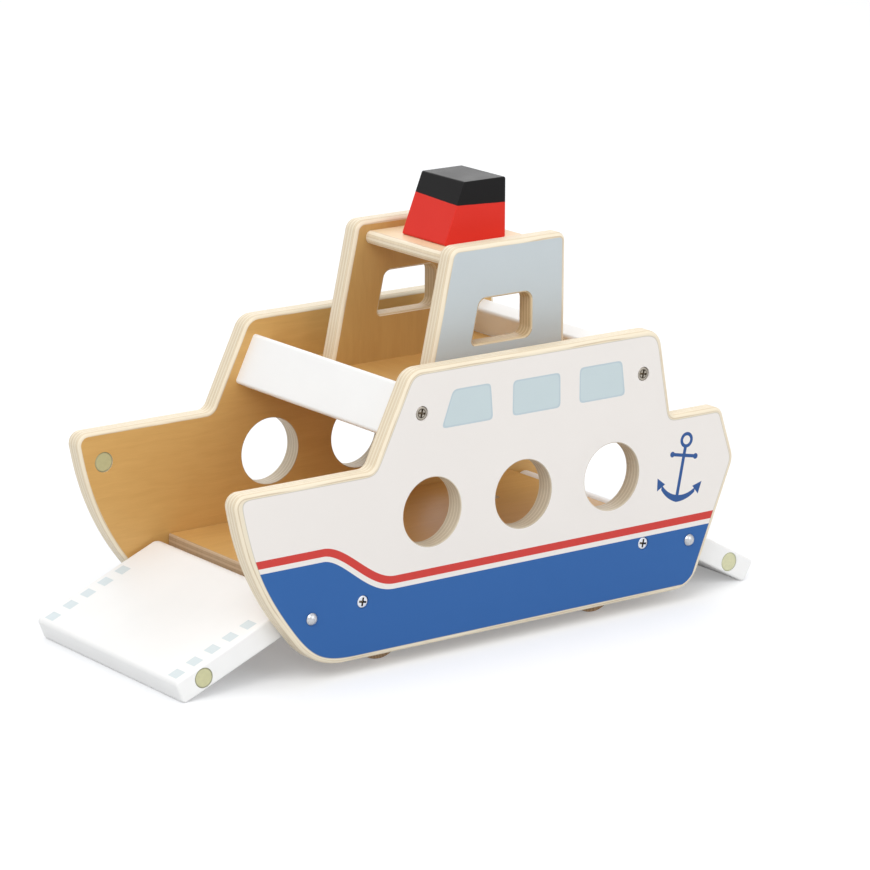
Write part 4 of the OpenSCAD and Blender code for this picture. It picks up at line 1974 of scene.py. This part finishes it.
@dataclass
class Ramp:
    """A ramp with its pins and magnets."""

    end: End
    length: float
    magnet_at: float
    thickness: float = 11.0
    half_w: float = 57.0
    tip_r: float = 2.0
    root_flat: float = 0.4
    edge_r: float = 1.0
    pin_reach: float = 105.0
    pin_z: float = 29.6
    pin_d: float = 3.0
    pin_grip: float = 15.0
    pin_play: float = 0.04
    pin_neck: float = 0.25
    pin_point: float = 0.5
    dome_steps: int = 8
    hole_steps: int = 32
    head_d: float = 5.6
    head_h: float = 1.6
    head_y: float = 67.8
    magnet_d: float = 9.0
    magnet_t: float = 4.0
    magnet_gap: float = 0.04
    magnet_recess: float = 0.1

    @property
    def body(self) -> str:
        """Give the body that all of it rides on."""
        return f"{self.end.word}_ramp"

    @property
    def pin(self) -> Point:
        """Give the pin's X and Z."""
        return MID_X + self.end.value * self.pin_reach, self.pin_z

    @property
    def low(self) -> float:
        """Give how far the lowered ramp leans below level, in radians."""
        a, b = self.length - self.tip_r, self.thickness / 2 - self.tip_r
        return math.asin((self.pin_z - self.tip_r) / math.hypot(a, b)) - math.atan2(b, a)

    def spot(self, along: float, up: float) -> Point:
        """Give the X and Z of a point on the lowered ramp.

        Args:
            along: Its distance from the pin towards the tip.
            up: Its distance from the ramp's middle towards its top.

        Returns:
            The X and Z.
        """
        cos, sin = math.cos(self.low), math.sin(self.low)
        x, z = self.pin
        return (x + self.end.value * (along * cos + up * sin), z - along * sin + up * cos)

    def corner(self, along: float, up: float, r: float) -> Corner:
        """Give a corner of the ramp's outline."""
        return Corner(*self.spot(along, up), r)

    def board(self, finish: Finish) -> None:
        """Model and dress the ramp itself.

        Args:
            finish: Its paint.
        """
        half = self.thickness / 2
        root_r = half - self.root_flat / 2
        corners = [self.corner(-half, -half, root_r), self.corner(self.length, -half, self.tip_r),
                   self.corner(self.length, half, self.tip_r), self.corner(-half, half, root_r)]
        piece = Bench.plate(f"{self.body}_board", corners, -self.half_w, 2 * self.half_w)
        for side in Side:
            Bench.bevel(piece, self.edge_r, at_y(side.value * self.half_w), segments=3)
        cutters = []
        magnet = self.spot(self.magnet_at, 0)
        for side in Side:
            face = side.value * self.half_w
            cutters.append(Bench.rod(*magnet, self.magnet_d + 2 * self.magnet_gap,
                                     face + side.value, face - side.value * self.magnet_t, MAGNET_STEPS))
            cutters.append(Bench.rod(*self.pin, self.pin_d + self.pin_play, face + side.value,
                                     face - side.value * self.pin_grip, self.hole_steps))
        Bench.cut(piece, cutters)
        hand_over(piece, finish, self.body, self.body)

    def pins(self, finish: Finish) -> None:
        """Model and dress the pins with their domed heads.

        Args:
            finish: Their steel.
        """
        head_r, tall = self.head_d / 2, self.head_h
        dome_r = (head_r ** 2 + tall ** 2) / (2 * tall)
        reach = math.asin(head_r / dome_r)
        steps = self.dome_steps
        turned = []
        for side in Side:
            sign = side.value
            top = self.head_y + tall
            profile = [(dome_r * math.sin(reach * i / steps),
                        sign * (top - dome_r * (1 - math.cos(reach * i / steps))))
                       for i in range(steps + 1)]
            grip_end = sign * (self.half_w - self.pin_grip)
            profile += [(head_r - self.pin_neck, sign * self.head_y),
                        (self.pin_d / 2, sign * self.head_y),
                        (self.pin_d / 2, grip_end + sign * self.pin_point),
                        (self.pin_d / 2 - self.pin_point, grip_end), (0, grip_end)]
            turned.append(Bench.lathe("pin", profile, *self.pin))
        piece = Bench.join(f"{self.body}_pin_pair", turned)
        hand_over(piece, finish, self.body, f"{self.body}_pins")

    def magnets(self, finish: Finish) -> None:
        """Model and dress the magnets in the ramp's edges.

        Args:
            finish: Their lacquer.
        """
        face = self.half_w - self.magnet_recess
        piece = magnet_pair(f"{self.body}_magnet_pair", self.spot(self.magnet_at, 0),
                            self.magnet_d / 2, face, self.half_w - self.magnet_t)
        hand_over(piece, finish, self.body, f"{self.body}_magnets")


def magnet_pair(name: str, middle: Point, radius: float, face: float,
                back: float) -> Piece:
    """Model a disc magnet on either side.

    Args:
        name: The piece's name.
        middle: The X and Z of both.
        radius: Their radius.
        face: The distance from the middle of the hull to the faces that show.
        back: The distance to their backs.

    Returns:
        The piece.
    """
    chamfer = 0.25
    inwards = 1 if back > face else -1
    discs = []
    for side in Side:
        sign = side.value
        profile = [(0, sign * face), (radius - chamfer, sign * face),
                   (radius, sign * (face + inwards * chamfer)), (radius, sign * back),
                   (0, sign * back)]
        discs.append(Bench.lathe("magnet", profile, *middle, MAGNET_STEPS))
    return Bench.join(name, discs)


@dataclass
class Screws:
    """The countersunk cross-slot screws in the sides."""

    play: float = 0.02
    shank_r: float = 1.75
    length: float = 29.5
    face_y: float = 67.5
    recess: float = 0.35
    slot_w: float = 0.95
    slot_l: float = 3.9
    slot_depth: float = 1.7
    slot_turns: Point = (12.0, 102.0)
    slot_taper: Spot = (0.45, 1, 0.7)
    rim: float = 0.3
    dome: float = 0.12
    dome_share: float = 0.55
    dome_rise: float = 0.03
    lip_in: float = 0.35
    lip_w: float = 0.27
    tip_share: float = 1.8
    tip_r: float = 0.35
    tip_blunt: float = 0.2
    slot_reach: float = 0.1
    slot_low: float = 0.15

    def model(self, head_r: float) -> Piece:
        """Model one port screw whose axis is the Y axis.

        Args:
            head_r: The head's radius.

        Returns:
            The screw.
        """
        y = -self.face_y + self.recess
        cone = head_r - self.shank_r
        tip = self.shank_r * self.tip_share
        profile = [(0, y - self.dome), (head_r * self.dome_share, y - self.dome + self.dome_rise),
                   (head_r - self.lip_in, y), (head_r - self.lip_in + self.lip_w, y + self.dome),
                   (head_r, y + self.rim), (self.shank_r, y + self.rim + cone),
                   (self.shank_r, y + self.length - tip),
                   (self.tip_r, y + self.length - self.tip_blunt), (0, y + self.length)]
        screw = Bench.lathe("screw", profile, 0, 0, 48)
        half_l, half_w = self.slot_l / 2, self.slot_w / 2
        for turn in self.slot_turns:
            bar = Bench.block("slot", Vector((-half_l, y - 1, -half_w)),
                              Vector((half_l, y + self.slot_depth, half_w)))
            Bench.edit(bar)
            mesh = bmesh.from_edit_mesh(bar.data)
            for face in mesh.faces:
                face.select_set(face.normal.y > FACING)
            bmesh.update_edit_mesh(bar.data)
            bpy.ops.transform.resize(value=self.slot_taper, center_override=(0, 0, 0))
            Bench.close()
            bar.rotation_euler = (0, math.radians(turn), 0)
            Bench.take(bar)
            Bench.settle()
            Bench.cut(screw, [bar])
        return screw

    def place(self, name: str, node: str, spots: Sequence[Spot],
              finish: Finish) -> None:
        """Copy the screw to its places in both sides.

        Args:
            name: The piece's name.
            node: The CAD node that it stands for.
            spots: The X, Z and head radius of the screws.
            finish: The head's steel and the slots' darker steel, a painted shade.
        """
        model = self.model(spots[0][2] - self.play)
        copies = []
        for x, z, _ in spots:
            copies.append(Bench.copy(model, Vector((x, 0, z))))
            copies.append(Bench.copy(model, Vector((x, 0, z)), 180.0))
        bpy.data.objects.remove(model)
        piece = Bench.join(name, copies)

        def choose(middle: Vector, _: Vector) -> int:
            """Tell the head's face from the walls of its slots.

            Args:
                middle: The face's middle.

            Returns:
                The material's number.
            """
            depth = self.face_y - abs(middle.y)
            near = min(math.hypot(middle.x - x, middle.z - z) for x, z, _ in spots)
            inside = near < self.slot_l / 2 + self.slot_reach
            return 1 if inside and depth > self.recess + self.slot_low else 0

        hand_over(piece, finish, "hull", node, choose)


@dataclass
class RunningGear:
    """The wheels, axles and axle blocks under the hull."""

    chamfer: float = 0.8
    hub_r: float = 5.5
    hub_dip: float = 0.8
    block_edge_r: float = 0.8
    bore_d: float = 4.2
    hub_bore_r: float = 2.0
    hub_slope: float = 0.2
    hub_wall: float = 0.6
    wheel_steps: int = 72
    rim_share: float = 0.25

    def wheel(self, name: str, finish: Finish, body: str) -> None:
        """Model a wheel with a chamfered rim and a dished hub.

        Args:
            name: The CAD node.
            finish: Its wood.
            body: The body that it rides on.
        """
        low, high = node_box(name)
        radius = (high.x - low.x) / 2
        sign = 1 if low.y > 0 else -1
        out, back = (high.y, low.y) if sign > 0 else (low.y, high.y)
        c, bore = self.chamfer, self.hub_bore_r
        soft = self.rim_share * c
        bottom = (bore, out - sign * (self.hub_dip + self.hub_slope))
        profile = [bottom, (self.hub_r - self.hub_wall, out - sign * self.hub_dip),
                   (self.hub_r, out), (radius - c, out), (radius - soft, out - sign * soft),
                   (radius, out - sign * c), (radius, back + sign * c),
                   (radius - soft, back + sign * soft), (radius - c, back),
                   (bore, back), bottom]
        piece = Bench.lathe(name.replace("_wheel", "_roller"), profile, *node_axis(name),
                            self.wheel_steps)
        hand_over(piece, finish, body, name)

    def block(self, name: str, finish: Finish) -> None:
        """Model an axle block with broken edges and its bore.

        Args:
            name: The CAD node.
            finish: Its wood.
        """
        low, high = node_box(name)
        piece = Bench.block(name.replace("_block", "_bearer"), low, high)
        Bench.bevel(piece, self.block_edge_r, lambda a, b: min(a.z, b.z) < high.z - NEAR, 3)
        axle = node_axis(name.replace("_block", ""))
        Bench.cut(piece, [Bench.rod(*axle, self.bore_d, low.y - 1, high.y + 1)])
        hand_over(piece, finish, "hull", name)


# Studio


@dataclass(frozen=True)
class Lamp:
    """A soft lamp.

    Attributes:
        name: Its name.
        azimuth: Its direction round the toy, in degrees, 0 from port.
        elevation: Its height above level, in degrees.
        power: Its power in watts.
        size: Its width in metres.
        distance: Its distance from the toy in metres.
    """

    name: str
    azimuth: float
    elevation: float
    power: float
    size: float
    distance: float = 2.2


@dataclass
class Studio:
    """The camera, the lamps, the floor and the white surroundings."""

    target: Spot = (-3.2, -27.9, 88.4)
    azimuth: float = -36.38
    elevation: float = 14.76
    roll: float = 0.27
    distance: float = 1840.0
    lens: float = 170.76
    sensor: float = 36.0
    ambient: float = 0.6
    floor_size: float = 30.0
    paper: Colour = (0.74, 0.75, 0.765)
    glow: float = 0.28
    aim_up: float = 0.07
    clip: Point = (0.05, 100.0)
    lamps: tuple[Lamp, ...] = (
        Lamp("key", -55.0, 45.0, 17.0, 1.3), Lamp("fill", 15.0, 28.0, 10.5, 1.6),
        Lamp("top", 150.0, 78.0, 9.5, 1.6), Lamp("back", 150.0, 30.0, 6.5, 1.4))

    @staticmethod
    def direction(azimuth: float, elevation: float) -> Vector:
        """Give the direction from the toy to a place round it."""
        a, e = math.radians(azimuth), math.radians(elevation)
        return Vector((math.sin(a) * math.cos(e), -math.cos(a) * math.cos(e), math.sin(e)))

    @staticmethod
    def put(data: bpy.types.ID, spot: Vector, away: Vector, roll: float = 0.0) -> Piece:
        """Put a camera or a lamp into the scene and turn it towards the toy.

        Args:
            data: The camera or the lamp, whose name the object takes.
            spot: Where it stands, in metres.
            away: The direction from the toy to it.
            roll: How far it is turned about its own axis, in degrees.

        Returns:
            The object.
        """
        thing = bpy.data.objects.new(data.name, data)
        bpy.context.scene.collection.objects.link(thing)
        thing.location = spot
        thing.rotation_mode = "QUATERNION"
        turn = Quaternion((0, 0, 1), math.radians(roll))
        thing.rotation_quaternion = (-away).to_track_quat("-Z", "Y") @ turn
        return thing

    def camera(self) -> None:
        """Set the camera at the photograph's view."""
        back = self.direction(self.azimuth, self.elevation)
        data = bpy.data.cameras.new("camera")
        data.lens, data.sensor_width = self.lens, self.sensor
        data.clip_start, data.clip_end = self.clip
        spot = (Vector(self.target) + back * self.distance) * MM
        bpy.context.scene.camera = self.put(data, spot, back, self.roll)

    def light(self) -> None:
        """Set the lamps."""
        aim = Vector((0, 0, self.aim_up))
        for lamp in self.lamps:
            data = bpy.data.lights.new(lamp.name, "AREA")
            data.energy, data.size = lamp.power, lamp.size
            away = self.direction(lamp.azimuth, lamp.elevation)
            self.put(data, aim + away * lamp.distance, away)

    def surroundings(self) -> None:
        """Make the world, which is white to look at and dimmer as a light."""
        graph = Graph("studio", world=True)
        bpy.context.scene.world = graph.owner
        strength = graph.add("ShaderNodeMapRange", None,
                             {"Value": graph.seen(), "To Min": self.ambient, "To Max": 1.0})
        light = graph.add("ShaderNodeBackground", None,
                          {"Color": WHITE, "Strength": strength.outputs["Result"]})
        graph.add("ShaderNodeOutputWorld", None, {"Surface": light.outputs[0]})

    def floor(self) -> None:
        """Lay the floor, which is white to look at and keeps the toy's shadow."""
        Bench.clear()
        bpy.ops.mesh.primitive_plane_add(size=self.floor_size, location=(0, 0, 0))
        plane = bpy.context.object
        plane.name = "floor"
        graph = Graph("floor_paper")
        paper = graph.add("ShaderNodeBsdfDiffuse", None, {"Color": self.paper})
        glow = graph.add("ShaderNodeEmission", None,
                         {"Color": WHITE, "Strength": graph.seen() * self.glow})
        both = graph.add("ShaderNodeAddShader", None,
                         {0: paper.outputs["BSDF"], 1: glow.outputs["Emission"]})
        graph.add("ShaderNodeOutputMaterial", None, {"Surface": both.outputs["Shader"]})
        plane.data.materials.append(graph.owner)

    def set_up(self) -> None:
        """Set up the whole studio."""
        self.camera()
        self.light()
        self.surroundings()
        self.floor()
        bpy.context.scene.view_settings.view_transform = "Standard"


# Assembly


@dataclass
class Ferry:
    """The whole toy."""

    sides: HullSides = field(default_factory=HullSides)
    decks: Decks = field(default_factory=Decks)
    house: Wheelhouse = field(default_factory=Wheelhouse)
    screws: Screws = field(default_factory=Screws)
    gear: RunningGear = field(default_factory=RunningGear)
    thin_plies: int = 5
    keeper_sink: float = 0.1
    keeper_t: float = 4.0
    tan_dark: Colour = linear(198, 150, 84)
    tan_light: Colour = linear(226, 184, 114)
    pale_dark: Colour = linear(226, 196, 152)
    pale_light: Colour = linear(248, 228, 192)

    def build_hull(self) -> None:
        """Build the sides, the decks and the boards."""
        half_in, ply_t = self.sides.half_in, self.sides.ply_t
        edge = CutPly("side_edge", Layered.Y, half_in, ply_t, self.sides.plies).make()
        outside = SidePrint(outline=self.sides.outline).make()
        # The porthole walls get darker, greyer plies than the outer edges: painted shade inside the
        # holes.
        hole = CutPly("porthole_wall", Layered.Y, half_in, ply_t, self.sides.plies,
                      linear(216, 205, 184), linear(192, 178, 154), linear(150, 132, 108)).make()
        inside = Veneer("side_inside", self.tan_dark, self.tan_light, seed=2.0).make()
        for side in Side:
            self.sides.build(side, (edge, outside, inside, hole))
        deck_edge = self.level_edge("deck_edge", "car_deck", self.decks.plies,
                                    linear(206, 180, 148), linear(178, 148, 116),
                                    linear(136, 106, 80))
        deck_top = Veneer("deck_face", self.tan_dark, self.tan_light, seed=7.0).make()
        self.decks.car_deck((deck_edge, deck_top))
        upper_edge = self.level_edge("upper_deck_edge", "upper_deck", self.thin_plies)
        upper_top = Veneer("upper_deck_face", self.tan_dark, self.tan_light, Grain.ALONG_Y,
                           seed=11.0).make()
        self.decks.upper_deck(self.sides, (upper_edge, upper_top))
        white = SatinPaint("board_paint", linear(250, 250, 249)).make()
        for end in End:
            self.decks.board(end, self.sides, (white,))

    def build_house(self) -> None:
        """Build the wheelhouse and the funnel."""
        house = self.house
        inner = house.outer_half - house.ply_t
        edge = CutPly("house_edge", Layered.Y, inner, house.ply_t, self.sides.plies).make()
        # The window's wall gets darker plies than the outer edges: painted shade inside the window.
        wall = CutPly("window_wall", Layered.Y, inner, house.ply_t, self.sides.plies,
                      linear(214, 192, 154), linear(188, 162, 122), linear(138, 110, 78)).make()
        outside = SatinPaint("house_paint", linear(198, 207, 211), Grain.ALONG_X, 0.45,
                             0.06).make()
        # The wheelhouse's inside veneer is darker than the hull's inside: painted shade inside the
        # wheelhouse.
        inside = Veneer("house_inside", linear(184, 142, 82), linear(212, 174, 110),
                        Grain.ALONG_Z, seed=4.0).make()
        for side in Side:
            house.side(side, (edge, outside, inside, wall))
        roof_edge = self.level_edge("roof_edge", "wheelhouse_roof", self.thin_plies)
        roof_top = Veneer("roof_face", self.pale_dark, self.pale_light, Grain.ALONG_Y,
                          seed=9.0).make()
        house.roof((roof_edge, roof_top))
        low, high = node_box("funnel")
        paint = BandedPaint("funnel_paint", linear(222, 52, 42), Grain.ALONG_Z, 0.38, 0.0, 0.14,
                            band_low=high.z - house.band_h, band_x=low.x, band_y=low.y).make()
        house.funnel((paint,))

    def build_ramps(self) -> None:
        """Build both ramps."""
        pin_steel = Steel("pin_steel", linear(196, 198, 202), 0.3).make()
        for ramp in (Ramp(End.BOW, 65.8, 52.5), Ramp(End.STERN, 52.2, 38.3)):
            paint = DashedPaint(f"{ramp.body}_paint", linear(249, 249, 248), end=ramp.end,
                                pin=ramp.pin, low=math.degrees(ramp.low),
                                length=ramp.length).make()
            ramp.board((paint,))
            ramp.pins((pin_steel,))
            faces = {End.BOW: (linear(208, 206, 160), linear(150, 150, 118)),
                     End.STERN: (linear(220, 219, 178), linear(190, 192, 156))}
            face = MagnetFace(f"{ramp.body}_magnet_face", ramp.spot(ramp.magnet_at, 0),
                              ramp.magnet_d / 2, *faces[ramp.end]).make()
            ramp.magnets((face,))

    def build_fasteners(self) -> None:
        """Build the screws and the magnets in the sides."""
        # The slots' walls get a darker, browner steel than the heads: painted shade in the slots.
        slot = Steel("slot_steel", linear(158, 144, 122), 0.5).make()
        spots = self.sides.screw_spots("deck_screws")
        # The deck screws' dark navy ring paints the shade of the blue hole wall round each head.
        bright = Steel("bright_screw_steel", linear(226, 229, 236), 0.34, tuple(spots),
                       (0.97,), linear(20, 34, 66)).make()
        self.screws.place("deck_screw_set", "deck_screws", spots, (bright, slot))
        spots = self.sides.screw_spots("board_screws")
        # The board screws' dark rings paint the shade round each head and in a groove on it.
        dull = Steel("dull_screw_steel", linear(178, 170, 158), 0.26, tuple(spots),
                     (0.58, 0.95), linear(60, 50, 40)).make()
        self.screws.place("board_screw_set", "board_screws", spots, (dull, slot))
        for end, spot in zip(End, self.sides.magnet_spots()):
            node = f"{end.word}_side_magnets"
            low, high = node_box(node)
            radius = (high.x - low.x) / 2
            face = MagnetFace(f"{node}_face", spot, radius, linear(196, 192, 146),
                              linear(168, 166, 128)).make()
            half_in = self.sides.half_in
            piece = magnet_pair(f"{end.word}_keeper_pair", spot, radius,
                                half_in + self.keeper_sink, half_in + self.keeper_t)
            hand_over(piece, (face,), "hull", node)

    def build_gear(self) -> None:
        """Build what is under the hull and dress the hidden CAD nodes."""
        hidden_steel = Steel("axle_steel", linear(190, 192, 196), 0.3).make()
        dowel_wood = Veneer("dowel_wood", self.pale_dark, self.pale_light, seed=1.0).make()
        for end in ("front", "rear"):
            wood = TurnedWood(f"{end}_wheel_wood", node_axis(f"{end}_axle")).make()
            for side in ("port", "starboard"):
                self.gear.wheel(f"{end}_{side}_wheel", (wood,), f"{end}_wheelset")
            block_wood = Veneer(f"{end}_block_wood", linear(176, 124, 76), linear(214, 164, 112),
                                Grain.ALONG_Y, seed=6.0).make()
            self.gear.block(f"{end}_axle_block", (block_wood,))
        steel_nodes = ("front_axle", "rear_axle", "axle_block_screws", "wheelhouse_screws",
                       "funnel_screw")
        for node in steel_nodes:
            self.dress_node(node, hidden_steel)
        for node in ("upper_deck_dowels", "roof_dowels"):
            self.dress_node(node, dowel_wood)

    @staticmethod
    def level_edge(name: str, node: str, plies: int, *colours: Colour) -> Material:
        """Make the cut edge of a level piece.

        Args:
            name: The material's name.
            node: The CAD node that gives its height.
            plies: How many plies there are.
            *colours: The light and the dark plies and the glue, where they aren't the usual ones.

        Returns:
            The material.
        """
        low, high = node_box(node)
        return CutPly(name, Layered.Z, low.z, high.z - low.z, plies, *colours, mirrored=False).make()

    @staticmethod
    def dress_node(name: str, material: Material) -> None:
        """Give a CAD node a better material.

        Args:
            name: The node.
            material: The material.
        """
        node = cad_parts[name]
        for slot in node.material_slots:
            slot.material = material
        LOG.info("%s: dressed as it is", name)


def main() -> None:
    """Build the toy and the studio."""
    logging.basicConfig(level=logging.INFO, format="%(name)s: %(message)s")
    ferry = Ferry()
    ferry.build_hull()
    ferry.build_house()
    ferry.build_ramps()
    ferry.build_fasteners()
    ferry.build_gear()
    Studio().set_up()
    Bench.clear()


if __name__ == "__main__":
    main()
